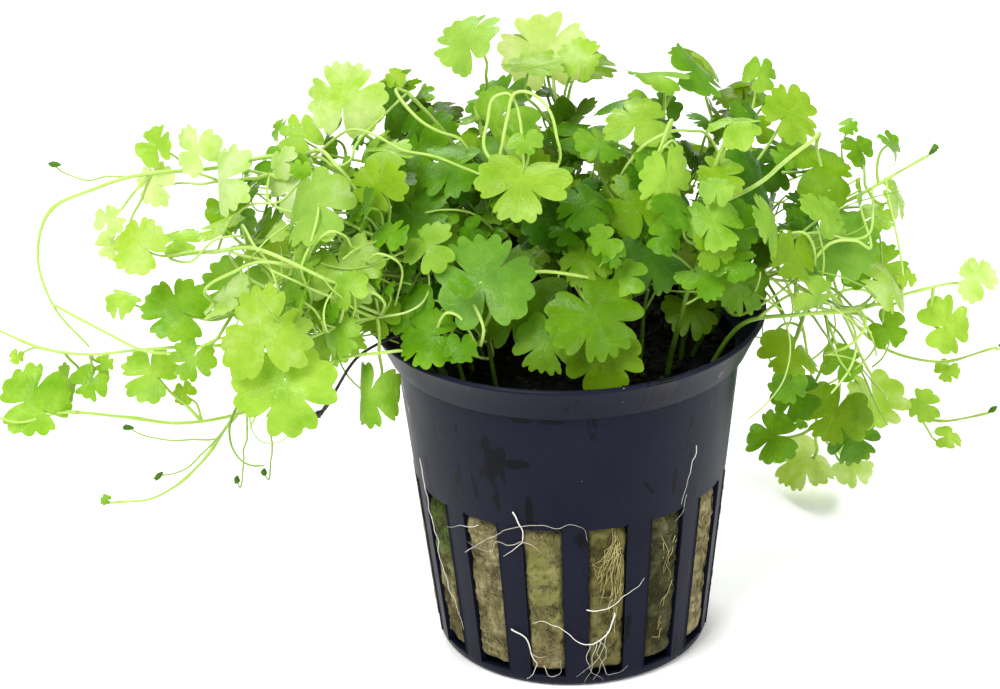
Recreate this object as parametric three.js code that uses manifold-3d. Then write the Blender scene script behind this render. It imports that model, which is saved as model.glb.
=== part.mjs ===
// A potted hydrocotyle tripartita, a small pond and aquarium plant: a slotted black plastic
// pot, the mineral wool plug that fills it, white roots that have grown out of the slots, and
// a mop of thin green stems with three-lobed leaves.
// Millimetres, +Z up, origin at the centre of the pot's flat underside. -Y is the front.
import * as THREE from 'three';
import { mergeVertices } from 'three/addons/utils/BufferGeometryUtils.js';
import Module from 'manifold-3d';

const wasm = await Module();
wasm.setup();

// Pot
const POT_HEIGHT = 46;
const RIM_RADIUS = 25.5;
const COLLAR_Z = 41;
const COLLAR_RADIUS = 23.1;
const BODY_TOP_RADIUS = 22.2;
const BASE_RADIUS = 17.6;
const WALL = 0.8;
const POT_FACETS = 45;
const SLOTS = 15;
const SLOT_BOTTOM = 1.5;
const SLOT_TOP = 24;
const SLOT_HALF_ANGLE = THREE.MathUtils.degToRad(7.2);
const SLOT_INNER_RADIUS = 12;
const SLOT_OUTER_RADIUS = 30;

// Wool plug
const PLUG_BOTTOM = 1.8;
const PLUG_TOP = 39.6;
const PLUG_GAP = 0.7;
const PLUG_ROUND = 2.5;
const PLUG_SHOULDER = 2;
const PLUG_MIDDLE = [14, 26];
const PLUG_FACETS = 15;
const PLUG_LUMP = 0.35;
const LUMPS_AROUND = 5;
const LUMPS_TWIST = 2;
const LUMPS_UP = 0.9;

// Roots
const ROOT_RADIUS = 0.22;
const ROOT_CLEARANCE = 0.8;
const ROOT_STEPS_PER_SPAN = 1;

// Stems and leaves
const SECTION_SIDES = 3;
const STEM_RADIUS = 0.5;
const PETIOLE_RADIUS = 0.4;
const STEM_STEPS_PER_SPAN = 1.2;
const FOOT = 40.4;
// Rings round a leaf's stalk. The first, where it meets the blade, is at most this share of
// the lobe radius wide and this far under the middle of the blade.
const RING_PLACES = [0, 0.45, 0.9];
const COLLAR_SHARE = 0.1;
const COLLAR_DROP = 0.15;
const LAST_JOINT = 0.97;
// Points round a blade's edge, by the lobe radius they serve up to
const BLADE_POINTS = [[3.2, 6], [5.9, 12], [10, 18]];
const BLADE_THICKNESS = 0.45;
const BLADE_DROOP = 0.22;
const LOBE_SPACING = 2 * Math.PI / 3;
const NOTCH_FROM = THREE.MathUtils.degToRad(150);
const NOTCH_DEPTH = 0.85;
const PETIOLE_SETBACK = 0.4;
const PETIOLE_ARCH = 0.35;

// Colours
const POT_BLACK = '#2d303c';
const WOOL_OLIVE = '#968c5f';
const ROOT_WHITE = '#e8e6d8';
const LEAF_GREEN = '#86bf25';
const DEAD_BROWN = '#3b2f22';

// One row for each shoot: its stem's route up from the plug, then its leaves. A leaf is
// [x, y, z, lobe radius, turn, tilt, clock, cut, along]: where its lobes meet, how long they
// are, the way its face looks (turn about Z from the front, tilt above the horizon), the
// clock angle of its middle lobe seen face on, how deep its lobes are cut, and how far along
// the stem its stalk springs. A leaf with a very small lobe radius is a bud.
const SHOOTS = [
  { name: 'shoot_front_1', route: [[4, -10, FOOT], [3, -10, 48], [1, -11, 57]], leaves: [
    [2.8, -18.3, 53, 6.5, 0, 45, 150, 0.45, 1], [4, -18, 47.5, 5.5, 5, 35, 180, 0.35, 0.4]] },
  { name: 'shoot_front_2', route: [[-3, -8, FOOT], [-3, -8, 44], [-4, -8, 48]], leaves: [
    [-3, -16, 48.5, 4.6, -5, 40, 190, 0.4, 0.8], [-6.5, -9, 52, 7.5, -20, 40, 225, 0.35, 1]] },
  { name: 'shoot_front_3', route: [[-9, -12, FOOT], [-10, -13, 45], [-10.5, -14, 50]], leaves: [
    [-10.5, -15, 56, 7, -10, 40, 350, 0.6, 1], [-13.5, -20, 50, 2.5, 0, 50, 180, 0.5, 0.8]] },
  { name: 'shoot_front_4', route: [[-12, -6, FOOT], [-13, -7, 46], [-14, -8, 53]], leaves: [
    [-17, -13, 60.5, 4, -15, 40, 255, 0.6, 1], [-17, -10, 51, 3.5, -10, 30, 30, 0.5, 0.5]] },
  { name: 'shoot_front_5', route: [[-13, -11, FOOT], [-14, -12, 44], [-15, -13, 48]], leaves: [
    [-17.5, -17, 50, 4.5, -20, 50, 250, 0.35, 1], [-20, -13, 52.5, 4, -20, 45, 300, 0.45, 1]] },
  { name: 'shoot_front_6', route: [[8, -8, FOOT], [9, -8, 45], [10, -7, 51]], leaves: [
    [10.6, -10.6, 57.4, 5.4, 30, 30, 150, 0.4, 1]] },
  { name: 'shoot_front_7', route: [[14, -4, FOOT], [15, -5, 45], [17, -6, 51]], leaves: [
    [17.5, -7.5, 56, 4.8, 10, 35, 120, 0.4, 1], [21.5, -10, 53, 4.5, 20, 20, 230, 0.3, 1],
    [15.5, -7, 48.5, 4.2, 20, 45, 150, 0.45, 0.6]] },
  { name: 'shoot_front_8', route: [[12, -8, FOOT], [14, -12, 50], [17, -13, 61], [19, -10, 69]],
    leaves: [[17.5, -18, 65, 4.2, 5, 40, 165, 0.75, 1], [20.5, -10, 74.5, 3.8, 10, 82, 60, 0.3, 1]] },
  { name: 'shoot_front_9', route: [[6, -4, FOOT], [7, -5, 52], [10, -7, 64], [13, -10, 75]],
    leaves: [[12, -16, 70, 4.6, 40, 10, 185, 0.4, 1], [9, -11, 64, 5.2, 10, 30, 350, 0.45, 0.6]] },
  { name: 'shoot_crown_1', route: [[-1, -4, FOOT], [-1, -4, 52], [-3, -7, 62], [-5, -12, 67]],
    leaves: [[-5.5, -17, 70.5, 6.6, 0, 58, 190, 0.6, 1], [-5, -12, 73.5, 2.4, 0, 60, 180, 0.4, 1],
      [-1.5, -9, 62, 5, 10, 40, 150, 0.4, 0.7]] },
  { name: 'shoot_crown_2', route: [[0, -2, FOOT], [0, -2, 52], [-3, -2, 64]], leaves: [
    [-8, -2, 72.5, 4.9, -40, 25, 200, 0.35, 1]] },
  { name: 'shoot_crown_3', route: [[-6, 0, FOOT], [-8, 0, 52], [-10, 0, 61]], leaves: [
    [-14, -3, 66.5, 5.2, -20, 50, 240, 0.45, 1], [-7, 3, 67, 4, 10, 70, 20, 0.4, 1]] },
  { name: 'shoot_crown_4', route: [[4, -1, FOOT], [6, -2, 52], [8, -3, 64]], leaves: [
    [9, -4, 72.5, 4.6, 0, 60, 20, 0.4, 1], [3.5, -7, 57, 4.5, -10, 40, 330, 0.4, 0.4]] },
  { name: 'shoot_crown_5', route: [[7, 3, FOOT], [9, 4, 54], [12, 6, 66]], leaves: [
    [12, 4, 75.5, 4.5, 0, 84, 290, 0.35, 1], [17, 9, 74, 5, 60, 45, 110, 0.35, 1]] },
  { name: 'shoot_crown_6', route: [[0, 6, FOOT], [-1, 8, 54], [0, 10, 66]], leaves: [
    [-2, 15, 75, 6.1, -5, 10, 350, 0.5, 1], [2.5, 10, 75.5, 3.2, 30, 25, 30, 0.4, 1],
    [-4, 7, 76, 4.4, 180, 76, 250, 0.4, 1]] },
  { name: 'shoot_crown_7', route: [[-5, 4, FOOT], [-8, 6, 55], [-11, 7, 71]], leaves: [
    [-11.6, 0.5, 81.5, 5, -50, 22, 300, 0.3, 1], [-8, 11, 70, 4.5, -30, 65, 320, 0.4, 0.9]] },
  { name: 'shoot_crown_8', route: [[3, 2, FOOT], [4, 2, 50], [5, 2, 60]], leaves: [
    [8, 4, 71.5, 4.3, 10, 75, 60, 0.4, 1], [1.5, 2, 60, 4.8, 0, 50, 20, 0.4, 0.7]] },
  { name: 'shoot_right_1', route: [[14, 0, FOOT], [18, 0, 50], [22, 0, 60]], leaves: [
    [28.5, 4, 70, 4.3, 20, 45, 60, 0.3, 1], [24, -5, 63, 7.5, 60, 35, 150, 0.3, 1]] },
  { name: 'shoot_right_2', route: [[12, 5, FOOT], [18, 6, 52], [24, 7, 63]], leaves: [
    [32, 2, 63.5, 5.8, 25, 50, 80, 0.35, 1], [25.5, 12, 72, 2.8, 10, 45, 60, 0.45, 1]] },
  { name: 'shoot_right_3', route: [[15, -3, FOOT], [21, -4, 50], [29, -4, 54]], leaves: [
    [34.5, -3, 55, 5.6, 20, 45, 150, 0.3, 1], [28, -11, 57, 3.8, 30, 35, 200, 0.4, 0.8]] },
  { name: 'runner_right_1', route: [[13, 3, FOOT], [21, 4, 52], [30, 4, 55], [39.5, 4, 59.5], [46, 3, 64]],
    leaves: [[38, 8, 63, 2.8, 40, 40, 330, 0.4, 0.8], [36.5, 9, 66, 1.6, 0, 60, 90, 0.4, 0.7],
      [40, 4, 55.5, 3.6, 20, 75, 100, 0.4, 0.7], [43, 8, 56, 3.3, 70, 20, 20, 0.4, 0.8],
      [46.7, 3, 64.7, 0.8, 0, 60, 60, 0.2, 1]] },
  { name: 'runner_right_2', route: [[17, -6, FOOT], [22, -9, 47], [29, -8, 47.5], [36, -4, 46],
    [44, 0, 46.5], [50.5, 4, 46], [51, 5.5, 44]], leaves: [
      [48.6, 0, 41.5, 4.3, 35, 30, 100, 0.35, 0.85], [53, 3, 46.6, 3.1, 20, 30, 330, 0.4, 1],
      [39.5, 2, 49, 4.9, 0, 40, 20, 0.5, 0.7], [41, -1, 42, 2.9, 0, 40, 130, 0.45, 0.7]] },
  { name: 'runner_right_3', route: [[18, 3, FOOT], [22, 4, 47], [28, 4, 47.5], [31, 5, 42]], leaves: [
    [29, 0, 38.5, 4.6, 30, 60, 230, 0.4, 1], [29, 5, 31.5, 2.9, 20, 20, 200, 0.4, 1]] },
  { name: 'runner_right_4', route: [[15, 9, FOOT], [22, 12, 48], [29, 14, 47.5], [34, 15, 38],
    [37, 17, 29]], leaves: [[41.5, 18, 22.5, 5, 20, 40, 180, 0.35, 1],
      [36, 15, 22, 5.1, -10, 35, 200, 0.45, 1], [30.5, 13, 26, 4, -20, 40, 250, 0.4, 0.9],
      [36, 8, 33, 3, 0, 50, 30, 0.3, 0.8]] },
  { name: 'runner_right_5', route: [[10, 13, FOOT], [15, 18, 48.5], [23, 25, 48], [31, 29, 34],
    [34, 29, 22], [35, 30, 13]], leaves: [[28.5, 25, 14, 4.9, -20, 40, 260, 0.6, 1],
      [39, 23, 15, 4.6, 10, 30, 170, 0.5, 1], [40, 29, 7, 3.9, 10, 40, 120, 0.45, 1],
      [34, 35, 5, 5.5, 0, 65, 230, 0.35, 1]] },
  { name: 'runner_right_6', route: [[16, 6, FOOT], [23, 8, 48], [31, 9, 46.5], [41, 11, 34],
    [49, 9, 32], [56, 6, 35.5]], leaves: [[50.5, 11, 30, 1.9, 0, 40, 200, 0.4, 0.85],
      [57, 6, 36, 0.8, 0, 60, 60, 0.2, 1]] },
  { name: 'runner_right_7', route: [[13, 11, FOOT], [20, 16, 48], [27, 20, 47], [37, 27, 33],
    [44, 30, 18], [51, 28, 14], [58, 24, 17]], leaves: [[49.5, 26, 17.5, 2.8, 0, 65, 270, 0.4, 0.8],
      [53, 29, 11, 2.2, 0, 65, 90, 0.4, 0.85], [58.5, 24, 17.5, 0.8, 0, 60, 60, 0.2, 1]] },
  { name: 'shoot_left_1', route: [[-15, -8, FOOT], [-20, -11, 49], [-27, -16, 52], [-34, -20, 51]],
    leaves: [[-37.5, -22, 53, 6.8, -20, 40, 340, 0.4, 1],
      [-35, -23, 46.5, 6.6, -15, 35, 165, 0.55, 1], [-25, -18, 43, 5, -25, 25, 190, 0.4, 0.6]] },
  { name: 'runner_left_1', route: [[-12, 2, FOOT], [-21, 3, 56], [-32, 3, 66], [-45, 2, 65.5],
    [-58, 0, 64.5], [-65, 0, 61], [-67, -1, 55], [-65, -3, 49], [-61, -4, 44]], leaves: [
      [-57.5, -2, 60.5, 2.4, -10, 30, 20, 0.6, 0.62], [-57.5, 1, 56, 2.4, -10, 30, 200, 0.5, 0.62],
      [-64, 1, 67, 0.8, 0, 60, 300, 0.2, 0.62]] },
  { name: 'runner_left_2', route: [[-16, -7, FOOT], [-22, -10, 48], [-33, -11, 47], [-45, -8, 45.5],
    [-53, -6, 44], [-61, -5, 43], [-67, -4, 44], [-73, -4, 47]], leaves: [
      [-70.5, -2, 42, 1.2, 0, 40, 200, 0.4, 0.9], [-59.5, -2, 40.5, 1.6, 0, 50, 90, 0.4, 0.8],
      [-64.5, -2, 38, 3.1, -65, 25, 190, 0.4, 0.85], [-61, -4, 39, 2.8, -10, 40, 200, 0.5, 0.8]] },
  { name: 'runner_left_3', route: [[-17, -1, FOOT], [-23, -2, 48.6], [-29, -3, 45.4], [-40, 0, 33],
    [-50, -4, 33], [-57, -6, 35], [-65, -8, 36.5], [-70, -10, 36.5], [-75, -10, 38.5]], leaves: [
      [-68.5, -8, 38.5, 5.7, -5, 35, 75, 0.65, 0.82], [-49.5, -1, 35.5, 1.8, 0, 40, 300, 0.4, 0.6],
      [-53.5, -2, 39, 4.3, -10, 35, 300, 0.55, 0.6]] },
  { name: 'runner_left_4', route: [[-14, 8, FOOT], [-21, 12, 48], [-28, 15, 47], [-37, 18, 34],
    [-43, 21, 24], [-50, 25, 13], [-55, 28.5, 6.5], [-59, 31, 3.5], [-64, 33.5, 2]], leaves: [
      [-65, 34, 2.2, 1, 0, 60, 270, 0.2, 1], [-46, 30, 7, 0.8, 0, 60, 250, 0.2, 0.6],
      [-42, 28, 9, 0.8, 0, 60, 250, 0.2, 0.5], [-60, 25, 18, 0.8, -78, 37, 0, 0.2, 0.7],
      [-56, 22, 12, 0.8, -60, 10, 0, 0.2, 0.6]] },
  { name: 'shoot_left_2', route: [[-17, -4, FOOT], [-23, -6, 51], [-33, -8, 53], [-42, -8, 50]],
    leaves: [[-49, -7, 50, 4.8, -10, 45, 290, 0.5, 1], [-47, -13, 46, 3.5, -10, 40, 200, 0.5, 1],
      [-29, -9, 53, 5.2, -20, 40, 320, 0.4, 0.5], [-56, -4, 51, 2.8, 0, 80, 260, 0.4, 1]] },
  { name: 'shoot_left_3', route: [[-10, -2, FOOT], [-18, -2, 55], [-28, -2, 62], [-37, -2, 66]],
    leaves: [[-46, -1, 69, 3.6, -10, 20, 320, 0.6, 1], [-42.5, -6, 67, 5, -60, 30, 230, 0.35, 1],
      [-34, -3, 64.5, 4.3, -15, 35, 50, 0.35, 0.8], [-25, -5, 59, 5.4, -20, 40, 30, 0.35, 0.5]] },
  { name: 'shoot_left_4', route: [[-12, 5, FOOT], [-22, 7, 55], [-34, 7, 61], [-44, 6, 62]], leaves: [
    [-51.5, 6, 67, 2.9, -30, 20, 330, 0.5, 1], [-52, 6, 62, 3.3, -20, 20, 290, 0.5, 1],
    [-43, 1, 60, 3, -10, 30, 150, 0.4, 0.9]] },
  { name: 'shoot_left_5', route: [[-13, -4, FOOT], [-22, -2, 54], [-34, -3, 57.5], [-45, -5, 57]],
    leaves: [[-53, -8, 59.5, 4, -10, 40, 300, 0.3, 1], [-49, -2, 57.5, 3.2, 0, 60, 60, 0.4, 1]] },
  { name: 'shoot_left_6', route: [[-8, 5, FOOT], [-14, 5, 53], [-21, 5, 64]], leaves: [
    [-27.5, 3, 73.5, 5.8, -5, 15, 5, 0.45, 1], [-22, 8, 70.5, 3.8, 10, 30, 30, 0.4, 1],
    [-33, 2, 69.5, 3, -20, 50, 300, 0.4, 1]] },
  { name: 'shoot_left_7', route: [[-6, 8, FOOT], [-10, 9, 54], [-14, 9, 65], [-19.5, 7, 73]], leaves: [
    [-21, 7, 75, 1.5, 0, 40, 0, 0.3, 1], [-17, 11, 66, 4, -10, 40, 320, 0.4, 0.6]] },
  { name: 'shoot_left_8', route: [[-9, 1, FOOT], [-15, 0, 53], [-23, 1, 63]], leaves: [
    [-22, -5, 70, 3.8, 0, 75, 80, 0.4, 1]] },
  { name: 'shoot_left_9', route: [[-12, -3, FOOT], [-17, -6, 52], [-23, -9, 60]], leaves: [
    [-30.5, -12, 66, 6.1, -20, 50, 280, 0.35, 1], [-28, -15, 58.5, 5.5, -20, 35, 150, 0.4, 1]] },
  { name: 'shoot_left_10', route: [[-15, -6, FOOT], [-19, -8, 48], [-25, -11, 50]], leaves: [
    [-29, -15, 50, 4.8, -15, 60, 230, 0.35, 1]] },
  { name: 'shoot_left_11', route: [[-13, 3, FOOT], [-18, 3, 49], [-25, 3, 53]], leaves: [
    [-37, 1, 54, 5.1, -20, 40, 280, 0.4, 1]] },
  { name: 'shoot_left_12', route: [[-17, 1, FOOT], [-23, 2, 47.5], [-31, 4, 48]], leaves: [
    [-42, -2, 51, 4.5, -15, 35, 200, 0.4, 1], [-34, 7, 44, 5.2, -20, 50, 250, 0.4, 1]] },
  { name: 'dead_stem', route: [[-17, -9, FOOT], [-20, -12, 47.8], [-26, -13.5, 46.6], [-31, -14, 39]],
    leaves: [[-31.5, -14, 38.5, 0.8, 0, 40, 200, 0.2, 1]] },
];

// The shoots behind the pot lean away from it at even steps round the back, by turns tall and
// low. A row is a leaf's distance from the pot's axis, height, lobe radius and sideways step.
const BACK_SHOOTS = 5;
const BACK_FROM = 40;
const BACK_STEP = 25;
const BACK_PLUG_RADIUS = 14;
const BACK_TILT = 35;
const BACK_CLOCK = 40;
const BACK_CUT = 0.4;
const BACK_STEM = [[14, 48], [20, 56], [27, 62]];
const LOW_BACK_STEM = [[20, 48], [28, 48], [35, 42]];
const BACK_LEAVES = [[33, 66, 5.4, -3], [30, 57, 5.2, 5], [27, 71.5, 4.4, 3]];
const LOW_BACK_LEAVES = [[41, 42, 5.4, 0], [36, 50, 5, 6], [39, 33, 4.8, -5]];

// Each root is a list of paths of [angle from the front, height] on the pot's wall. The first
// path is the root, the others branch from it.
const ROOTS = [
  { name: 'root_front', paths: [
    [[-20, 26.5], [-19, 24.5], [-20, 23.3], [-27, 22]],
    [[-20, 23.3], [-27, 21.2], [-34, 21], [-42, 20.3]],
    [[-20, 23.3], [-16, 22], [-12.5, 21.3]],
    [[-19, 24.5], [-13, 24.8], [-6, 24.3], [0, 24.4], [8, 24.6]]] },
  { name: 'root_front_left', paths: [[[-36, 23.4], [-44, 22.2], [-53, 21]]] },
  { name: 'root_left', paths: [[[-66, 29], [-64, 20], [-58, 12], [-51, 5.5]]] },
  { name: 'root_right', paths: [[[46, 33], [44, 29], [41, 25]]] },
  { name: 'root_middle', paths: [[[4, 12.5], [10, 13.6], [18, 14.4], [26.5, 15.7]]] },
  { name: 'root_foot_left', paths: [
    [[-23, 8.8], [-17, 7.5], [-15, 6], [-13, 3.8], [-17, 1.8]], [[-15, 6], [-12, 5.6], [-9, 5.8]]] },
  { name: 'root_foot', paths: [
    [[11, 11.5], [9, 9], [7, 6.5], [5, 1.8]], [[9, 9], [15, 8], [21, 5.4], [22, 2]],
    [[7, 6.5], [1, 8.3], [-8, 10.5]]] },
];

const wallRadius = (z) => BASE_RADIUS + (BODY_TOP_RADIUS - BASE_RADIUS) * z / COLLAR_Z;

// Turns a closed geometry into a solid that can be cut and joined.
function toSolid(geometry) {
  const bare = geometry.clone();
  bare.deleteAttribute('normal');
  bare.deleteAttribute('uv');
  const merged = mergeVertices(bare);
  const corners = merged.index.array;
  const triVerts = [];
  for (let i = 0; i < corners.length; i += 3) {
    const [a, b, c] = corners.slice(i, i + 3);
    if (a !== b && b !== c && c !== a) triVerts.push(a, b, c);
  }
  return new wasm.Manifold(new wasm.Mesh({
    numProp: 3,
    vertProperties: Float32Array.from(merged.attributes.position.array),
    triVerts: Uint32Array.from(triVerts),
  }));
}

function toGeometry(solid) {
  const mesh = solid.getMesh();
  const geometry = new THREE.BufferGeometry();
  geometry.setAttribute('position', new THREE.BufferAttribute(mesh.vertProperties, 3));
  geometry.setIndex(new THREE.BufferAttribute(mesh.triVerts, 1));
  geometry.computeVertexNormals();
  return geometry;
}

const joined = (solids) => solids.reduce((whole, solid) => whole.add(solid));

function lathe(profile, facets) {
  const points = profile.map(([radius, z]) => new THREE.Vector2(radius, z));
  return new THREE.LatheGeometry(points, facets).rotateX(Math.PI / 2);
}

// A wedge that cuts one slot through the wall, centred on +X before it is turned.
function slotCutter(angle) {
  const sector = new THREE.Shape();
  sector.absarc(0, 0, SLOT_OUTER_RADIUS, -SLOT_HALF_ANGLE, SLOT_HALF_ANGLE);
  sector.absarc(0, 0, SLOT_INNER_RADIUS, SLOT_HALF_ANGLE, -SLOT_HALF_ANGLE, true);
  const cutter = new THREE.ExtrudeGeometry(sector, {
    depth: SLOT_TOP - SLOT_BOTTOM, bevelEnabled: false, curveSegments: 1,
  });
  return toSolid(cutter.translate(0, 0, SLOT_BOTTOM).rotateZ(angle));
}

function pot() {
  const shell = toSolid(lathe([
    [0, 0], [BASE_RADIUS, 0], [BODY_TOP_RADIUS, COLLAR_Z], [COLLAR_RADIUS, COLLAR_Z],
    [RIM_RADIUS, POT_HEIGHT], [RIM_RADIUS - WALL, POT_HEIGHT],
    [BODY_TOP_RADIUS - WALL, COLLAR_Z], [BASE_RADIUS - WALL, WALL], [0, WALL],
  ], POT_FACETS));
  const pitch = 2 * Math.PI / SLOTS;
  const cutters = Array.from({ length: SLOTS }, (_, i) => slotCutter(-Math.PI / 2 + (i + 0.5) * pitch));
  return toGeometry(shell.subtract(joined(cutters)));
}

// The plug follows the pot's inner wall, with a rounded foot and shoulder and a lumpy side.
function woolPlug() {
  const side = (z) => wallRadius(z) - WALL - PLUG_GAP - PLUG_LUMP;
  const foot = PLUG_BOTTOM + PLUG_ROUND;
  const geometry = lathe([
    [0, PLUG_BOTTOM], [side(PLUG_BOTTOM) - PLUG_ROUND, PLUG_BOTTOM], [side(foot), foot],
    ...PLUG_MIDDLE.map((z) => [side(z), z]), [side(PLUG_TOP), PLUG_TOP - PLUG_SHOULDER],
    [side(PLUG_TOP) - PLUG_SHOULDER, PLUG_TOP], [0, PLUG_TOP],
  ], PLUG_FACETS);
  const point = new THREE.Vector3();
  const position = geometry.attributes.position;
  for (let i = 0; i < position.count; i += 1) {
    point.fromBufferAttribute(position, i);
    const radius = Math.hypot(point.x, point.y);
    if (radius < PLUG_ROUND) continue;
    const angle = Math.atan2(point.y, point.x);
    const wave = Math.sin(LUMPS_AROUND * angle) * Math.sin(LUMPS_UP * point.z + LUMPS_TWIST * angle);
    const scale = 1 + PLUG_LUMP * wave / radius;
    position.setXYZ(i, point.x * scale, point.y * scale, point.z);
  }
  return toGeometry(toSolid(geometry));
}

// A thin bar with few sides along a curve.
function bar(curve, radius, steps) {
  const section = new THREE.Shape();
  for (let i = 0; i < SECTION_SIDES; i += 1) {
    const angle = 2 * Math.PI * i / SECTION_SIDES;
    section[i ? 'lineTo' : 'moveTo'](radius * Math.cos(angle), radius * Math.sin(angle));
  }
  return toSolid(new THREE.ExtrudeGeometry(section, { extrudePath: curve, steps }));
}

const vector = ([x, y, z]) => new THREE.Vector3(x, y, z);

// How far the blade's edge lies from its middle, as a share of the lobe radius, at an angle
// from the middle lobe's tip. The stalk's notch is opposite the tip.
function edgeReach(angle, cut) {
  const lobe = Math.round(angle / LOBE_SPACING);
  const across = Math.abs(angle - lobe * LOBE_SPACING) / (LOBE_SPACING / 2);
  const depth = Math.abs(angle) > NOTCH_FROM ? NOTCH_DEPTH : cut;
  return 1 - depth * across ** 3;
}

// The axes of a leaf: across, toward the tip of its middle lobe, and out of its upper face.
function leafAxes(turn, tilt, clock) {
  const [t, e, c] = [turn, tilt, clock].map(THREE.MathUtils.degToRad);
  const face = new THREE.Vector3(Math.sin(t) * Math.cos(e), -Math.cos(t) * Math.cos(e), Math.sin(e));
  const up = new THREE.Vector3(-Math.sin(t) * Math.sin(e), Math.cos(t) * Math.sin(e), Math.cos(e));
  const right = up.clone().cross(face);
  const tip = up.multiplyScalar(Math.cos(c)).addScaledVector(right, Math.sin(c));
  return { across: tip.clone().cross(face), tip, face };
}

// A leaf is a sphere's grid of points pulled into shape. Its first row is the top of the blade,
// the second is the blade's edge, the rows after that are rings round the stalk, drawn in to
// SECTION_SIDES corners, and the last row is the stalk's end, inside the stem.
function leaf(start, centre, radius, axes, cut) {
  const bend = centre.clone().addScaledVector(axes.tip, -PETIOLE_SETBACK * radius)
    .addScaledVector(axes.face, -PETIOLE_ARCH * start.distanceTo(centre));
  const stalk = new THREE.QuadraticBezierCurve3(centre, bend, start);
  const columns = BLADE_POINTS.find(([largest]) => radius < largest)[1];
  const lastRow = RING_PLACES.length + 2;
  const geometry = new THREE.SphereGeometry(1, columns, lastRow);
  const position = geometry.attributes.position;

  const bladePoint = (away, around, height) => centre.clone()
    .addScaledVector(axes.across, away * Math.cos(around))
    .addScaledVector(axes.tip, away * Math.sin(around))
    .addScaledVector(axes.face, height);
  const edgePoint = (around) => {
    const fromTip = THREE.MathUtils.euclideanModulo(around + Math.PI / 2, 2 * Math.PI) - Math.PI;
    const reach = radius * edgeReach(fromTip, cut);
    return bladePoint(reach, around, -BLADE_DROOP * reach * reach / radius);
  };
  const ringPoint = (place, corner) => {
    const angle = Math.PI + 2 * Math.PI * (corner + 0.5) / SECTION_SIDES;
    if (place === 0) return bladePoint(Math.min(PETIOLE_RADIUS, COLLAR_SHARE * radius), angle, -COLLAR_DROP);
    const tangent = stalk.getTangent(place);
    const side = axes.across.clone().addScaledVector(tangent, -axes.across.dot(tangent)).normalize();
    const other = side.clone().cross(tangent);
    return stalk.getPoint(place).addScaledVector(side, PETIOLE_RADIUS * Math.cos(angle))
      .addScaledVector(other, PETIOLE_RADIUS * Math.sin(angle));
  };

  for (let i = 0; i < position.count; i += 1) {
    const row = Math.floor(i / (columns + 1));
    const column = i % (columns + 1) % columns;
    const around = Math.PI + 2 * Math.PI * column / columns;
    const corner = Math.floor(column * SECTION_SIDES / columns);
    let point = start;
    if (row === 0) point = bladePoint(0, 0, BLADE_THICKNESS);
    else if (row === 1) point = edgePoint(around);
    else if (row < lastRow) point = ringPoint(RING_PLACES[row - 2], corner);
    position.setXYZ(i, point.x, point.y, point.z);
  }
  return toSolid(geometry);
}

function shoot(route, leaves) {
  const steps = Math.floor(STEM_STEPS_PER_SPAN * (route.length - 1));
  const curve = new THREE.CatmullRomCurve3(route.map(vector));
  const joints = curve.getSpacedPoints(steps);
  const jointAt = (along) => {
    const place = Math.min(along, LAST_JOINT) * steps;
    const before = Math.floor(place);
    return joints[before].clone().lerp(joints[before + 1], place - before);
  };
  const parts = leaves.map(([x, y, z, radius, turn, tilt, clock, cut, along]) => (
    leaf(jointAt(along), new THREE.Vector3(x, y, z), radius, leafAxes(turn, tilt, clock), cut)));
  return toGeometry(joined([bar(curve, STEM_RADIUS, steps), ...parts]));
}

// Leaves and stem of one shoot at the back, at an angle round the pot from +X.
function backShoot(index) {
  const azimuth = BACK_FROM + BACK_STEP * index;
  const [stem, leaves] = index % 2 ? [LOW_BACK_STEM, LOW_BACK_LEAVES] : [BACK_STEM, BACK_LEAVES];
  const place = (radius, z, aside) => {
    const angle = THREE.MathUtils.degToRad(azimuth);
    return [
      radius * Math.cos(angle) - aside * Math.sin(angle),
      radius * Math.sin(angle) + aside * Math.cos(angle), z];
  };
  const route = [[BACK_PLUG_RADIUS, FOOT], ...stem].map(([radius, z]) => place(radius, z, 0));
  return shoot(route, leaves.map(([radius, z, lobe, aside], i) => (
    [...place(radius, z, aside), lobe, azimuth + 90, BACK_TILT, BACK_CLOCK * (i - 1), BACK_CUT, 1])));
}

// A root lies just clear of the pot's wall.
function root(paths) {
  return toGeometry(joined(paths.map((path) => {
    const points = path.map(([degrees, z]) => {
      const angle = THREE.MathUtils.degToRad(degrees);
      const radius = wallRadius(z) + ROOT_CLEARANCE;
      return new THREE.Vector3(radius * Math.sin(angle), -radius * Math.cos(angle), z);
    });
    return bar(new THREE.CatmullRomCurve3(points), ROOT_RADIUS, ROOT_STEPS_PER_SPAN * (path.length - 1));
  })));
}

const plant = new THREE.Group();

function addMesh(name, geometry, color, roughness) {
  const mesh = new THREE.Mesh(geometry, new THREE.MeshStandardMaterial({ color, roughness, metalness: 0 }));
  mesh.name = name;
  plant.add(mesh);
}

addMesh('pot', pot(), POT_BLACK, 0.35);
addMesh('wool_plug', woolPlug(), WOOL_OLIVE, 0.95);
for (const { name, paths } of ROOTS) addMesh(name, root(paths), ROOT_WHITE, 0.6);
for (const { name, route, leaves } of SHOOTS) {
  addMesh(name, shoot(route, leaves), name === 'dead_stem' ? DEAD_BROWN : LEAF_GREEN, 0.4);
}
for (let i = 0; i < BACK_SHOOTS; i += 1) addMesh(`shoot_back_${i + 1}`, backShoot(i), LEAF_GREEN, 0.4);

export default plant;
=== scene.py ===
"""The look of a potted hydrocotyle tripartita: a slotted black pot, a plug of mineral wool,
white roots, and a mop of thin stems with small three-lobed leaves.

Metres, +Z up, -Y is the front. Tables of places are in millimetres.
"""

import math

import bpy
import numpy as np
from mathutils import Matrix, Vector, noise


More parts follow.
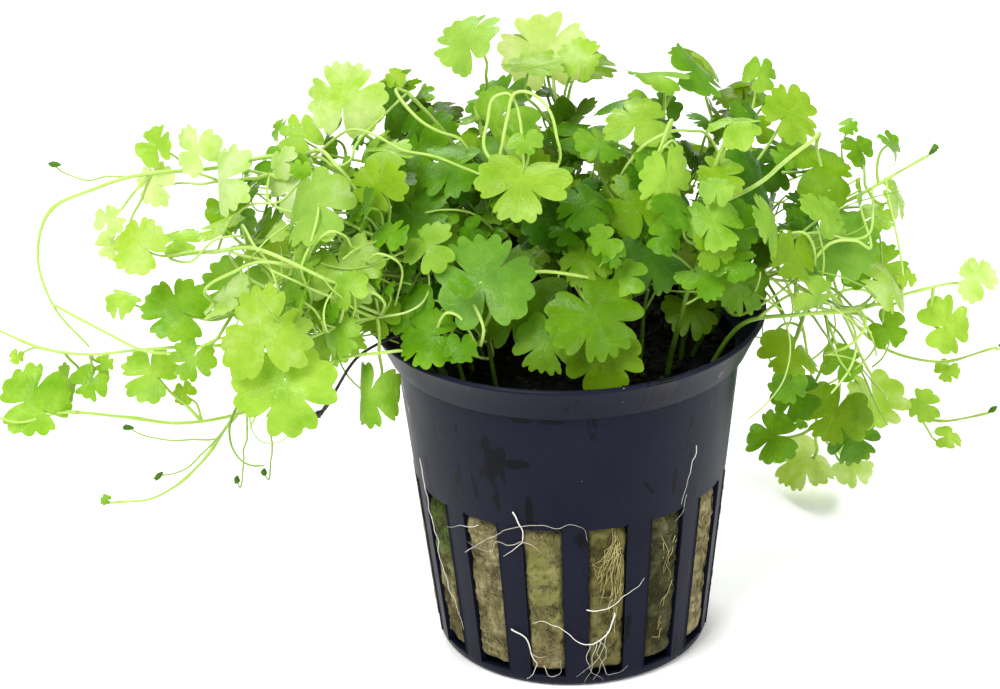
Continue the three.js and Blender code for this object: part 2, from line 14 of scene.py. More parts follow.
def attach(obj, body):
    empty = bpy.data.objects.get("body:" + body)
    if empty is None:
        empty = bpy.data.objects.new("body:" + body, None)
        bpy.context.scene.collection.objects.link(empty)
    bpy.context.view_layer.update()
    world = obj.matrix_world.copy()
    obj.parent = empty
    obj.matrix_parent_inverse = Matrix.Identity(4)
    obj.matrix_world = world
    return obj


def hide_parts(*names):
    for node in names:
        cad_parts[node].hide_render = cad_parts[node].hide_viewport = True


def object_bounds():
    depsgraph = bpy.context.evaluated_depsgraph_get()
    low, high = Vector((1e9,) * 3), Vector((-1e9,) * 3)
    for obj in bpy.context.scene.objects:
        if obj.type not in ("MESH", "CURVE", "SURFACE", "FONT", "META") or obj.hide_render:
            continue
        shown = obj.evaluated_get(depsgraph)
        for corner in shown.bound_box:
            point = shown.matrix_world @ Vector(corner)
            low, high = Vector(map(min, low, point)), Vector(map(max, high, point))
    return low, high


MM = 0.001
SEED = 41

# Pot, in millimetres
POT_HEIGHT = 46.0
RIM_RADIUS = 25.5
COLLAR_Z = 41.0
COLLAR_RADIUS = 23.1
BODY_TOP_RADIUS = 22.2
BASE_RADIUS = 17.6
WALL = 0.8
SLOTS = 15
SLOT_PITCH = 2 * math.pi / SLOTS
SLOT_BOTTOM = 1.5
SLOT_TOP = 24.0
SLOT_HALF_ANGLE = math.radians(7.2)
COLUMNS_PER_SLOT = 7
COLUMNS_PER_RIB = 9
EDGE_ROUNDING = 0.18
BASE_CHAMFER = 1.0
SLOT_ROWS = 12
BODY_ROWS = 10
# The rim's lip flares from the collar by these shares, and rises by so much outside and inside
FLARE_SHARES = (0.35, 0.7)
FLARE_RISES = (5, 4)
LIP_TURNS = (0, 0.25, 0.4, 0.5)
# The two rings round the underside: how far in from the base's radius, and how high
UNDERSIDE = ((0.15, 0.3), (0.7, 0.0))

# Wool plug, in millimetres
PLUG_BOTTOM = 1.8
PLUG_TOP = 39.8
PLUG_ROUND = 2.0
PLUG_CLEARANCE = 0.45
PLUG_SWELL = 1.15
PLUG_SWELL_POWER = 0.12
PLUG_SWELL_FADE = 1.5
# Rings of the wool: under it and over it, as shares of its radius with their number, and up it
WOOL_UNDER = (0.1, 0.95, 6)
WOOL_OVER = (0.97, 0.04, 24)
WOOL_ROWS = 90
WOOL_COLUMNS = 360
# Lumps of the wool: how high, how wide, and where in the noise
LUMPS = ((0.5, 2.2, 7), (0.12, 0.5, 3))
LUMP_RANGE = (-0.6, 0.25)
TOP_LUMPS = 1.4
FIBRES = 6500
FIBRE_LENGTHS = (0.5, 3.0)
FIBRE_RADII = (0.015, 0.045)
FIBRE_LEAN = 1.5
FIBRE_BEND = 0.6
FIBRE_DEPTHS = (-0.2, 0.12)
ROOT_SHARE = 0.52
ROOT_BRANCH = 0.62
ROOT_CLEARANCE = 0.35
ROOT_LOWEST = 0.9
ROOT_TIP = 0.25
# How pale a root's first line is, and its branches
ROOT_TONES = (0.8, 0.3)
ROOTLET_RADII = (0.055, 0.02)
ROOTLET_SPREAD = 0.9
ROOTLET_CLEARANCE = 0.12
# How far from the front the slot with the most rootlets is, and how often each is drawn there
# and elsewhere
ROOTLETS_MOST_TO = 20
ROOTLET_COPIES = (6, 2)
# By how much lines stray, and over what length
ROOT_WANDER = (0.35, 1.6)
ROOTLET_WANDER = (0.3, 1.2)
STEM_WANDER = (0.5, 9.0)
STALK_WANDER = (0.7, 4.0)
ARC_WANDER = (0.25, 5.0)
CRUMBS = 900
CRUMB_SIZES = (0.2, 0.75)
CRUMB_SPREAD = 21
CRUMB_HEIGHT = 0.5
CRUMB_SHAPE = np.array([1, 1, 0.7])
CRUMB_CORNERS = (0.7, 1.3)

# Stems, stalks and leaves, in millimetres
FOOT = 38.0
# By the start of a name: the stem's radius at its foot and tip, its slot, and the materials of
# the leaves and the stem
KINDS = {
    "shoot": ((0.36, 0.22), "leaf", ("leaf", "stem")),
    "runner": ((0.34, 0.15), "stem", ("leaf", "stem")),
    "dead": ((0.16, 0.22), "dead_stem", ("dead", "dead")),
}
STEM_SIDES = 8
STEM_KNOT = 0.08
STEM_KNOT_LENGTH = 1.4
# A stem is painted dark in the heart of the plant, as painted shade, and turns pale away from the pot's axis
# and up from its top: where from, and over how far
STEM_SHADE_FADES_OUT = (18, 18)
STEM_SHADE_FADES_UP = (50, 22)
STEM_PALEST = 0.78
STALK_RADIUS = (0.30, 0.18)
STALK_SIDES = 6
STALK_POINTS = 15
BUD_RADIUS = 1.0
BUD_RADII = (0.15, 0.28, 0.38, 0.36, 0.26, 0.1)
BUD_REACH = (-0.7, 0.8)
BUD_LEAVES = 3
BUD_LEAF_RADIUS = 0.55
BLADE_RINGS = 6
LOBE_SPACING = 2 * math.pi / 3
NOTCH_DEPTH = 0.85
LOBE_CORNERS = 0.16
LOBE_GATHER = 0.28
STALK_SETBACK = 0.4
STALK_ARCH = 0.35
STALK_SHORT = 0.2
# Each piece carries its leaves' own places and its tone in maps of these names
LEAF_UV = "leaf"
TONE_UV = "tone"

# How many columns of points a blade has below each radius, and how many teeth a lobe may have
BLADE_COLUMNS = ((3.2, 54), (6, 90), (math.inf, 126))
TEETH = (3, 5, 5)
FEW_TEETH = (2, 3)
FEW_TEETH_BELOW = 3

# How blades vary, from the least to the most, with lengths as shares of a blade's radius
CUTS = (0.9, 1.35)
CUT_LIMIT = 0.75
SHARPNESS = (4.0, 8.0)
LOBE_LENGTHS = (0.8, 1.04)
TOOTH_DEPTHS = (0.13, 0.23)
DROOPS = (-0.12, 0.25)
FOLDS = (-0.10, 0.12)
RIPPLES = (0.01, 0.05)
RIPPLE_COUNTS = (4, 9)
SADDLES = (0, 0.16)
LEAN = 0.15
CURL_LEAST = 0.1
CURL_SPREAD = 0.55
CURL_MOST = 1.4

# What a leaf's tone is made of, from 0, dark, to 1, pale. Besides the leaf's own green it holds painted light
# and shade: leaves at the left, the right and the top are painted paler as if lit more, and those under
# others are painted darker as painted shade.
TONE_MIDDLE = 0.52
LIT_TONE_LEFT = 0.38
LIT_TONE_RIGHT = 0.30
LIT_TONE_HIGH = 0.30
SHADE_TONE_COVERED = 0.13
TONE_SPREAD = 0.11
TONE_RANGE = (0.06, 0.97)
# Where leaves start to be painted paler, as painted light, and over how far, in millimetres. Those at the
# left that hang
# # low are less so.
PALER_LEFT = (18, 42)
PALER_RIGHT = (24, 30)
PALER_HIGH = (66, 14)
PALER_LOW = (34, 18)
PALER_LOW_LEAST = 0.4
# A leaf casts painted shade on another that lies so far under it, toward the light and to the side. More than
# # the most count as the most.
COVER_DEPTHS = (1.5, 25)
COVER_WIDTH = 6
COVER_MOST = 4
TOWARD_LIGHT = np.array([-0.25, -0.65, 0.72])

# Small leaves and threads between the shoots, in millimetres
HEART = np.array([0, 4, 40.0])
FILL_SPACING = 1.2
FILL_SPACING_LEFT = 1.7
FILL_SPACING_RUNNER = 5.0
FILL_AWAY = (3.0, 11.0)
FILL_FROM = 0.22
FILL_SCATTER = 0.55
FILL_MARGIN = 1.1
FILL_RADIUS = 1.4
FILL_RADIUS_MORE = 3.2
FILL_CUTS = (0.35, 0.6)
FILL_OVERLAP = 0.4
FILL_TOP = 70.0
FILL_REACH = 8.0
FILL_MIDDLE = 22
FILL_MIDDLE_TOP = 64
FILL_SIDES = 44.0
FILL_PALEST = 0.84
# The open soil in front: from left to right, to the back, and how high leaves keep off it
OPEN_SOIL = (-23, 26)
OPEN_SOIL_BACK = -3
OPEN_SOIL_TOP = 55.0
# The small leaves further back than this are the back ones
BACK_BEYOND = 2
THREADS = {"left": 130, "crown": 8, "right": 60}
THREAD_TRIES = 8
THREAD_STEPS = 13
THREAD_LENGTHS = (9, 24)
THREAD_RADII = (0.15, 0.25)
THREAD_TIP = 0.55
THREAD_FROM = (0.35, 0.95)
THREAD_TURN = 2.8
THREAD_TONES = (0.45, 1.0)
THREAD_TOP = 63.0
THREAD_BOTTOM = 20.0
THREAD_SIDES = 44.0
STEMS_FREE_ABOVE = 49.0
ARC_TONE = (0.82, 0.5)
ARC_TIP = 0.8

# Colours, as shares of light, each with the value that it stands for
# The darkest leaf and stem colours are painted shade, and the palest leaf colour is painted light.
LEAF_COLOURS = [(0.0, (0.010, 0.040, 0.001)), (0.25, (0.038, 0.150, 0.0015)), (0.5, (0.125, 0.320, 0.006)),
                (0.75, (0.33, 0.54, 0.06)), (1.0, (0.68, 0.77, 0.46))]
STEM_COLOURS = [(0.0, (0.008, 0.028, 0.001)), (0.4, (0.17, 0.34, 0.02)), (0.7, (0.42, 0.62, 0.10)),
                (1.0, (0.64, 0.77, 0.30))]
WOOL_COLOURS = [(0.25, (0.05, 0.042, 0.017)), (0.42, (0.16, 0.135, 0.055)), (0.58, (0.27, 0.24, 0.12)),
                (0.8, (0.42, 0.40, 0.25))]
# The wool's top: dark wet wool with painted shade from the leaves over it.
SHADED_TOP_COLOURS = [(0.3, (0.001, 0.001, 0.001)), (0.55, (0.003, 0.003, 0.001)), (0.75, (0.010, 0.013, 0.003))]
FIBRE_COLOURS = [(0.0, (0.012, 0.013, 0.004)), (0.35, (0.09, 0.078, 0.026)), (0.65, (0.20, 0.18, 0.08)),
                 (1.0, (0.36, 0.34, 0.19))]
CRUMB_COLOURS = [(0.0, (0.001, 0.001, 0.001)), (0.6, (0.005, 0.004, 0.002)), (0.85, (0.014, 0.018, 0.004)),
                 (1.0, (0.05, 0.07, 0.012))]
DEAD_COLOURS = [(0.3, (0.010, 0.007, 0.005)), (0.7, (0.045, 0.030, 0.018))]
ROOTLET_COLOURS = [(0.3, (0.24, 0.19, 0.05)), (0.7, (0.50, 0.44, 0.18))]
ROOT_COLOURS = [(0.2, (0.30, 0.28, 0.22)), (0.5, (0.58, 0.56, 0.47)), (0.8, (0.88, 0.87, 0.80))]
POT_COLOURS = [(0.3, (0.0040, 0.0048, 0.0125)), (0.7, (0.0070, 0.0080, 0.0185))]
FLOOR_COLOURS = [(0.3, (0.88, 0.88, 0.88)), (0.7, (0.92, 0.92, 0.92))]
BUMP_HEIGHT = 0.0004
WOOL_BUMP_HEIGHT = 0.0006
# Wet marks on the wall: angle from the front, height, half width, half height, lean
WET_MARKS = [(-27, 33.4, 1.3, 3.0, 22), (-20, 33.6, 2.0, 0.8, -8), (-7, 40.2, 1.8, 0.4, 0),
             (-17, 40.2, 1.6, 0.4, 0), (-16, 26.6, 0.55, 3.2, 0), (-37, 42, 1.0, 0.7, 0),
             (38, 29, 0.5, 2.6, 0), (27, 29, 0.3, 1.8, -35), (44, 36.5, 0.5, 0.8, 0), (-42, 37, 0.35, 1.2, 0)]
# Algae in the wool: angle from the front, half width, lowest and highest reach, tint
ALGAE = [(36, 9, 0, 28, (0.018, 0.022, 0.004)), (-60, 9, 15, 28, (0.05, 0.11, 0.008)),
         (12, 9, 0, 28, (0.14, 0.125, 0.03)), (-12, 9, 10, 18, (0.28, 0.28, 0.07))]
# How bright the loose fibres are in the darker slots, by the angle of a slot from the front,
# and how many degrees such a slot reaches to either side
FIBRE_TONES = {-60: 0.35, 12: 0.55, 36: 0.12}
FIBRE_TONE_REACH = 9

# Camera and light
CAMERA_TARGET = (-0.00872, 0, 0.04072)
CAMERA_DISTANCE = 0.472
CAMERA_ELEVATION = 25.18
CAMERA_ROLL = -1.61
CAMERA_LENS = 132.28
SKY_STRENGTH = 0.6
LIGHTS = [("key", (-0.35, -0.45, 0.75), 0.45, 9.0), ("fill", (0.55, -0.35, 0.35), 0.5, 3.0),
          ("back", (-0.1, 0.6, 0.6), 0.5, 6.0)]

# One row for each shoot: its stem's route, which starts at the foot's height, then its leaves.
# A leaf is [x, y, z, lobe radius, turn, tilt, clock, cut, along]: where its lobes meet, how
# long they are, the way its face looks (turn about Z from the front, tilt above the horizon),
# the clock angle of its middle lobe seen face on, how deep its lobes are cut, and how far
# along the stem its stalk springs. A leaf may leave out its last one or two numbers.
LEAF_ENDING = [0.4, 1]
LEAF_NUMBERS = 9
SHOOTS = {
    "shoot_front_1": ([[4, -10], [3, -10, 48], [1, -11, 57]], [[2.8, -18.3, 53, 6.5, 0, 45, 150, 0.45],
        [4, -18, 47.5, 5.5, 5, 35, 180, 0.35, 0.4]]),
    "shoot_front_2": ([[-3, -8], [-3, -8, 44], [-4, -8, 48]], [
        [-3, -16, 48.5, 4.6, -5, 40, 190, 0.4, 0.8], [-6.5, -9, 52, 7.5, -20, 40, 225, 0.35]]),
    "shoot_front_3": ([[-9, -12], [-10, -13, 45], [-10.5, -14, 50]], [
        [-10.5, -15, 56, 7, -10, 40, 350, 0.6], [-13.5, -20, 50, 2.5, 0, 50, 180, 0.5, 0.8]]),
    "shoot_front_4": ([[-12, -6], [-13, -7, 46], [-14, -8, 53]], [[-17, -13, 60.5, 4, -15, 40, 255, 0.6],
        [-17, -10, 51, 3.5, -10, 30, 30, 0.5, 0.5]]),
    "shoot_front_5": ([[-13, -11], [-14, -12, 44], [-15, -13, 48]], [
        [-17.5, -17, 50, 4.5, -20, 50, 250, 0.35], [-20, -13, 52.5, 4, -20, 45, 300, 0.45]]),
    "shoot_front_6": ([[8, -8], [9, -8, 45], [10, -7, 51]], [[10.6, -10.6, 57.4, 5.4, 30, 30, 150]]),
    "shoot_front_7": ([[14, -4], [15, -5, 45], [17, -6, 51]], [[17.5, -7.5, 56, 4.8, 10, 35, 120],
        [21.5, -10, 53, 4.5, 20, 20, 230, 0.3], [15.5, -7, 48.5, 4.2, 20, 45, 150, 0.45, 0.6]]),
    "shoot_front_8": ([[12, -8], [14, -12, 50], [17, -13, 61], [19, -10, 69]], [
        [17.5, -18, 65, 4.2, 5, 40, 165, 0.75], [20.5, -10, 74.5, 3.8, 10, 82, 60, 0.3]]),
    "shoot_front_9": ([[6, -4], [7, -5, 52], [10, -7, 64], [13, -10, 75]], [
        [12, -16, 70, 4.6, 40, 10, 185], [9, -11, 64, 5.2, 10, 30, 350, 0.45, 0.6]]),
    "shoot_crown_1": ([[-1, -4], [-1, -4, 52], [-3, -7, 62], [-5, -12, 67]], [
        [-5.5, -17, 70.5, 6.6, 0, 58, 190, 0.6], [-5, -12, 73.5, 2.4, 0, 60, 180],
        [-1.5, -9, 62, 5, 10, 40, 150, 0.4, 0.7]]),
    "shoot_crown_2": ([[0, -2], [0, -2, 52], [-3, -2, 64]], [[-8, -2, 72.5, 4.9, -40, 25, 200, 0.35]]),
    "shoot_crown_3": ([[-6, 0], [-8, 0, 52], [-10, 0, 61]], [[-14, -3, 66.5, 5.2, -20, 50, 240, 0.45],
        [-7, 3, 67, 4, 10, 70, 20]]),
    "shoot_crown_4": ([[4, -1], [6, -2, 52], [8, -3, 64]], [[9, -4, 72.5, 4.6, 0, 60, 20],
        [3.5, -7, 57, 4.5, -10, 40, 330, 0.4, 0.4]]),
    "shoot_crown_5": ([[7, 3], [9, 4, 54], [12, 6, 66]], [[12, 4, 75.5, 4.5, 0, 84, 290, 0.35],
        [17, 9, 74, 5, 60, 45, 110, 0.35]]),
    "shoot_crown_6": ([[0, 6], [-1, 8, 54], [0, 10, 66]], [[-2, 15, 75, 6.1, -5, 10, 350, 0.5],
        [2.5, 10, 75.5, 3.2, 30, 25, 30], [-4, 7, 76, 4.4, 180, 76, 250]]),
    "shoot_crown_7": ([[-5, 4], [-8, 6, 55], [-11, 7, 71]], [[-11.6, 0.5, 81.5, 5, -50, 22, 300, 0.3],
        [-8, 11, 70, 4.5, -30, 65, 320, 0.4, 0.9]]),
    "shoot_crown_8": ([[3, 2], [4, 2, 50], [5, 2, 60]], [[8, 4, 71.5, 4.3, 10, 75, 60],
        [1.5, 2, 60, 4.8, 0, 50, 20, 0.4, 0.7]]),
    "shoot_right_1": ([[14, 0], [18, 0, 50], [22, 0, 60]], [[28.5, 4, 70, 4.3, 20, 45, 60, 0.3],
        [24, -5, 63, 7.5, 60, 35, 150, 0.3]]),
    "shoot_right_2": ([[12, 5], [18, 6, 52], [24, 7, 63]], [[32, 2, 63.5, 5.8, 25, 50, 80, 0.35],
        [25.5, 12, 72, 2.8, 10, 45, 60, 0.45]]),
    "shoot_right_3": ([[15, -3], [21, -4, 50], [29, -4, 54]], [[34.5, -3, 55, 5.6, 20, 45, 150, 0.3],
        [28, -11, 57, 3.8, 30, 35, 200, 0.4, 0.8]]),
    "runner_right_1": ([[13, 3], [21, 4, 52], [30, 4, 55], [39.5, 4, 59.5], [46, 3, 64]], [
        [38, 8, 63, 2.8, 40, 40, 330, 0.4, 0.8], [36.5, 9, 66, 1.6, 0, 60, 90, 0.4, 0.7],
        [40, 4, 55.5, 3.6, 20, 75, 100, 0.4, 0.7], [43, 8, 56, 3.3, 70, 20, 20, 0.4, 0.8],
        [46.7, 3, 64.7, 0.8, 0, 60, 60, 0.2]]),
    "runner_right_2": ([[17, -6], [22, -9, 47], [29, -8, 47.5], [36, -4, 46], [44, 0, 46.5],
        [50.5, 4, 46], [51, 5.5, 44]], [[48.6, 0, 41.5, 4.3, 35, 30, 100, 0.35, 0.85],
        [53, 3, 46.6, 3.1, 20, 30, 330], [39.5, 2, 49, 4.9, 0, 40, 20, 0.5, 0.7],
        [41, -1, 42, 2.9, 0, 40, 130, 0.45, 0.7]]),
    "runner_right_3": ([[18, 3], [22, 4, 47], [28, 4, 47.5], [31, 5, 42]], [
        [29, 0, 38.5, 4.6, 30, 60, 230], [29, 5, 31.5, 2.9, 20, 20, 200]]),
    "runner_right_4": ([[15, 9], [22, 12, 48], [29, 14, 47.5], [34, 15, 38], [37, 17, 29]], [
        [41.5, 18, 22.5, 5, 20, 40, 180, 0.35], [36, 15, 22, 5.1, -10, 35, 200, 0.45],
        [30.5, 13, 26, 4, -20, 40, 250, 0.4, 0.9], [36, 8, 33, 3, 0, 50, 30, 0.3, 0.8]]),
    "runner_right_5": ([[10, 13], [15, 18, 48.5], [23, 25, 48], [31, 29, 34], [34, 29, 22],
        [35, 30, 13]], [[28.5, 25, 14, 4.9, -20, 40, 260, 0.6], [39, 23, 15, 4.6, 10, 30, 170, 0.5],
        [40, 29, 7, 3.9, 10, 40, 120, 0.45], [34, 35, 5, 5.5, 0, 65, 230, 0.35]]),
    "runner_right_6": ([[16, 6], [23, 8, 48], [31, 9, 46.5], [41, 11, 34], [49, 9, 32], [56, 6, 35.5]], [
        [50.5, 11, 30, 1.9, 0, 40, 200, 0.4, 0.85], [57, 6, 36, 0.8, 0, 60, 60, 0.2]]),
    "runner_right_7": ([[13, 11], [20, 16, 48], [27, 20, 47], [37, 27, 33], [44, 30, 18], [51, 28, 14],
        [58, 24, 17]], [[49.5, 26, 17.5, 2.8, 0, 65, 270, 0.4, 0.8],
        [53, 29, 11, 2.2, 0, 65, 90, 0.4, 0.85], [58.5, 24, 17.5, 0.8, 0, 60, 60, 0.2]]),
    "shoot_left_1": ([[-15, -8], [-20, -11, 49], [-27, -16, 52], [-34, -20, 51]], [
        [-37.5, -22, 53, 6.8, -20, 40, 340], [-35, -23, 46.5, 6.6, -15, 35, 165, 0.55],
        [-25, -18, 43, 5, -25, 25, 190, 0.4, 0.6]]),
    "runner_left_1": ([[-12, 2], [-21, 3, 56], [-32, 3, 66], [-45, 2, 65.5], [-58, 0, 64.5], [-65, 0, 61],
        [-67, -1, 55], [-65, -3, 49], [-61, -4, 44]], [[-57.5, -2, 60.5, 2.4, -10, 30, 20, 0.6, 0.62],
        [-57.5, 1, 56, 2.4, -10, 30, 200, 0.5, 0.62], [-64, 1, 67, 0.8, 0, 60, 300, 0.2, 0.62]]),
    "runner_left_2": ([[-16, -7], [-22, -10, 48], [-33, -11, 47], [-45, -8, 45.5], [-53, -6, 44],
        [-61, -5, 43], [-67, -4, 44], [-73, -4, 47]], [[-70.5, -2, 42, 1.2, 0, 40, 200, 0.4, 0.9],
        [-59.5, -2, 40.5, 1.6, 0, 50, 90, 0.4, 0.8], [-64.5, -2, 38, 3.1, -65, 25, 190, 0.4, 0.85],
        [-61, -4, 39, 2.8, -10, 40, 200, 0.5, 0.8]]),
    "runner_left_3": ([[-17, -1], [-23, -2, 48.6], [-29, -3, 45.4], [-40, 0, 33], [-50, -4, 33],
        [-57, -6, 35], [-65, -8, 36.5], [-70, -10, 36.5], [-75, -10, 38.5]], [
        [-68.5, -8, 38.5, 5.7, -5, 35, 75, 0.65, 0.82], [-49.5, -1, 35.5, 1.8, 0, 40, 300, 0.4, 0.6],
        [-53.5, -2, 39, 4.3, -10, 35, 300, 0.55, 0.6]]),
    "runner_left_4": ([[-14, 8], [-21, 12, 48], [-28, 15, 47], [-37, 18, 34], [-43, 21, 24],
        [-50, 25, 13], [-55, 28.5, 6.5], [-59, 31, 3.5], [-64, 33.5, 2]], [
        [-65, 34, 2.2, 1, 0, 60, 270, 0.2], [-46, 30, 7, 0.8, 0, 60, 250, 0.2, 0.6],
        [-42, 28, 9, 0.8, 0, 60, 250, 0.2, 0.5], [-60, 25, 18, 0.8, -78, 37, 0, 0.2, 0.7],
        [-56, 22, 12, 0.8, -60, 10, 0, 0.2, 0.6]]),
    "shoot_left_2": ([[-17, -4], [-23, -6, 51], [-33, -8, 53], [-42, -8, 50]], [
        [-49, -7, 50, 4.8, -10, 45, 290, 0.5], [-47, -13, 46, 3.5, -10, 40, 200, 0.5],
        [-29, -9, 53, 5.2, -20, 40, 320, 0.4, 0.5], [-56, -4, 51, 2.8, 0, 80, 260]]),
    "shoot_left_3": ([[-10, -2], [-18, -2, 55], [-28, -2, 62], [-37, -2, 66]], [
        [-46, -1, 69, 3.6, -10, 20, 320, 0.6], [-42.5, -6, 67, 5, -60, 30, 230, 0.35],
        [-34, -3, 64.5, 4.3, -15, 35, 50, 0.35, 0.8], [-25, -5, 59, 5.4, -20, 40, 30, 0.35, 0.5]]),
    "shoot_left_4": ([[-12, 5], [-22, 7, 55], [-34, 7, 61], [-44, 6, 62]], [
        [-51.5, 6, 67, 2.9, -30, 20, 330, 0.5], [-52, 6, 62, 3.3, -20, 20, 290, 0.5],
        [-43, 1, 60, 3, -10, 30, 150, 0.4, 0.9]]),
    "shoot_left_5": ([[-13, -4], [-22, -2, 54], [-34, -3, 57.5], [-45, -5, 57]], [
        [-53, -8, 59.5, 4, -10, 40, 300, 0.3], [-49, -2, 57.5, 3.2, 0, 60, 60]]),
    "shoot_left_6": ([[-8, 5], [-14, 5, 53], [-21, 5, 64]], [[-27.5, 3, 73.5, 5.8, -5, 15, 5, 0.45],
        [-22, 8, 70.5, 3.8, 10, 30, 30], [-33, 2, 69.5, 3, -20, 50, 300]]),
    "shoot_left_7": ([[-6, 8], [-10, 9, 54], [-14, 9, 65], [-19.5, 7, 73]], [
        [-21, 7, 75, 1.5, 0, 40, 0, 0.3], [-17, 11, 66, 4, -10, 40, 320, 0.4, 0.6]]),
    "shoot_left_8": ([[-9, 1], [-15, 0, 53], [-23, 1, 63]], [[-22, -5, 70, 3.8, 0, 75, 80]]),
    "shoot_left_9": ([[-12, -3], [-17, -6, 52], [-23, -9, 60]], [
        [-30.5, -12, 66, 6.1, -20, 50, 280, 0.35], [-28, -15, 58.5, 5.5, -20, 35, 150]]),
    "shoot_left_10": ([[-15, -6], [-19, -8, 48], [-25, -11, 50]], [
        [-29, -15, 50, 4.8, -15, 60, 230, 0.35]]),
    "shoot_left_11": ([[-13, 3], [-18, 3, 49], [-25, 3, 53]], [[-37, 1, 54, 5.1, -20, 40, 280]]),
    "shoot_left_12": ([[-17, 1], [-23, 2, 47.5], [-31, 4, 48]], [[-42, -2, 51, 4.5, -15, 35, 200],
        [-34, 7, 44, 5.2, -20, 50, 250]]),
    "dead_stem": ([[-17, -9], [-20, -12, 47.8], [-26, -13.5, 46.6], [-31, -14, 39]], [
        [-31.5, -14, 38.5, 0.8, 0, 40, 200, 0.2]]),
}

# Shoots at the back stand in a half ring, turned in equal steps, in turn upright and hanging
# low. A row is a leaf's distance from the pot's axis, height, lobe radius and sideways step.
BACK_SHOOTS = 5
BACK_FROM = 40
BACK_STEP = 25
BACK_FOOT = [14, FOOT]
BACK_STEM = [[14, 48], [20, 56], [27, 62]]
LOW_BACK_STEM = [[20, 48], [28, 48], [35, 42]]
BACK_LEAVES = [[33, 66, 5.4, -3], [30, 57, 5.2, 5], [27, 71.5, 4.4, 3]]
LOW_BACK_LEAVES = [[41, 42, 5.4, 0], [36, 50, 5, 6], [39, 33, 4.8, -5]]
BACK_TILT = 35
BACK_CLOCK = 40
BACK_CUT = 0.4

# Each root is a list of lines of [angle from the front, height] on the pot's wall, and the
# radius that it starts with.
ROOTS = {
    "root_front": (0.2, [
        [[-21.6, 26.6], [-19.4, 25], [-18.6, 23.6], [-19, 22.2], [-22.7, 20.8], [-26.6, 19.6]],
        [[-19.3, 22.3], [-24.2, 21.4], [-29.3, 21.4], [-31, 20.2], [-36.6, 19.8], [-42, 20.2]],
        [[-19, 22.2], [-15.7, 21.8], [-12.2, 21]],
        [[-44, 18.4], [-35, 21], [-21.6, 24.3], [-12.2, 25.2], [-6.3, 24.8], [0, 25.2], [3.3, 24.4],
         [4.4, 22.7]]]),
    "root_front_left": (0.1, [[[-36, 23.4], [-44, 22.2], [-53, 21]]]),
    "root_left": (0.17, [
        [[-66, 29], [-64.8, 24], [-64, 20], [-61.4, 16], [-58, 12], [-54, 8.6], [-51, 5.5]]]),
    "root_right": (0.12, [[[46, 33], [45.2, 31], [44, 29], [41, 25]],
                          [[43.4, 26.2], [41.6, 23.6], [38.6, 22.6]]]),
    "root_middle": (0.15, [[[4, 12.2], [8, 12], [12, 12.2], [18, 13.4], [24, 14.6], [26.5, 15.7]],
                           [[12, 12.2], [13.6, 13.2], [15, 13.4]]]),
    "root_foot_left": (0.2, [
        [[-26, 8.4], [-22, 7.6], [-19.4, 6.6], [-18.4, 5], [-16.2, 3.6], [-17.6, 1.9], [-21, 0.8]],
        [[-18.6, 5], [-15, 4.6], [-11.6, 4.9]],
        [[-13.4, 3.4], [-11, 1.7], [-7, 2.2], [-6.6, 4.4]]]),
    "root_foot": (0.2, [
        [[14.8, 11.2], [13.2, 9], [9.6, 7.4], [6, 6.6], [2, 7], [-6, 9.2], [-12, 10.2], [-17, 9.9]],
        [[7.8, 6.9], [6.4, 4.6], [5.6, 2.6], [3, 0.7]],
        [[9.6, 7.3], [8.4, 5.2], [10.8, 3], [13, 1.6], [17, 1.6], [21, 2.6]],
        [[5.2, 6.6], [3.8, 4.6], [6.2, 2.5], [10.8, 0.9]],
        [[12, 8.6], [10.4, 5.9], [7.8, 4], [4.4, 3.1], [-0.4, 1.8]],
        [[8, 7.4], [12, 5.6], [9.6, 3.1], [6.4, 1.1]]]),
}

# Leaves that are darker or paler than their place says. Their tone, like the one from the place, is the
# leaf's own green with painted light and shade.
TONES = {
    ("shoot_front_3", 0): 0.5, ("shoot_front_8", 0): 0.6, ("shoot_crown_1", 0): 0.66,
    ("shoot_crown_6", 0): 0.9, ("shoot_crown_7", 0): 0.72, ("shoot_left_1", 0): 0.74,
    ("shoot_left_1", 1): 0.68, ("shoot_left_1", 2): 0.62, ("runner_left_1", 0): 0.84,
    ("runner_left_3", 0): 0.6, ("runner_right_2", 1): 0.84, ("runner_right_2", 3): 0.45,
    ("runner_right_4", 0): 0.75, ("runner_right_5", 2): 0.82, ("runner_right_5", 3): 0.82,
}

# How far some leaves are rolled, as an angle, and the heading that they roll along
CURLS = {
    ("shoot_front_3", 0): (0.3, 0.0), ("shoot_front_8", 0): (0.7, 0.3),
    ("shoot_crown_1", 0): (0.9, 1.5), ("shoot_crown_2", 0): (1.5, 1.2),
    ("shoot_crown_5", 0): (1.0, 0.5), ("shoot_crown_7", 0): (0.9, 0.6),
    ("shoot_left_1", 2): (2.3, 0.3), ("shoot_left_3", 1): (1.4, 1.57),
    ("shoot_left_8", 0): (1.3, 0.0), ("shoot_left_10", 0): (1.2, 1.57),
    ("runner_right_1", 2): (1.4, 1.57),
}

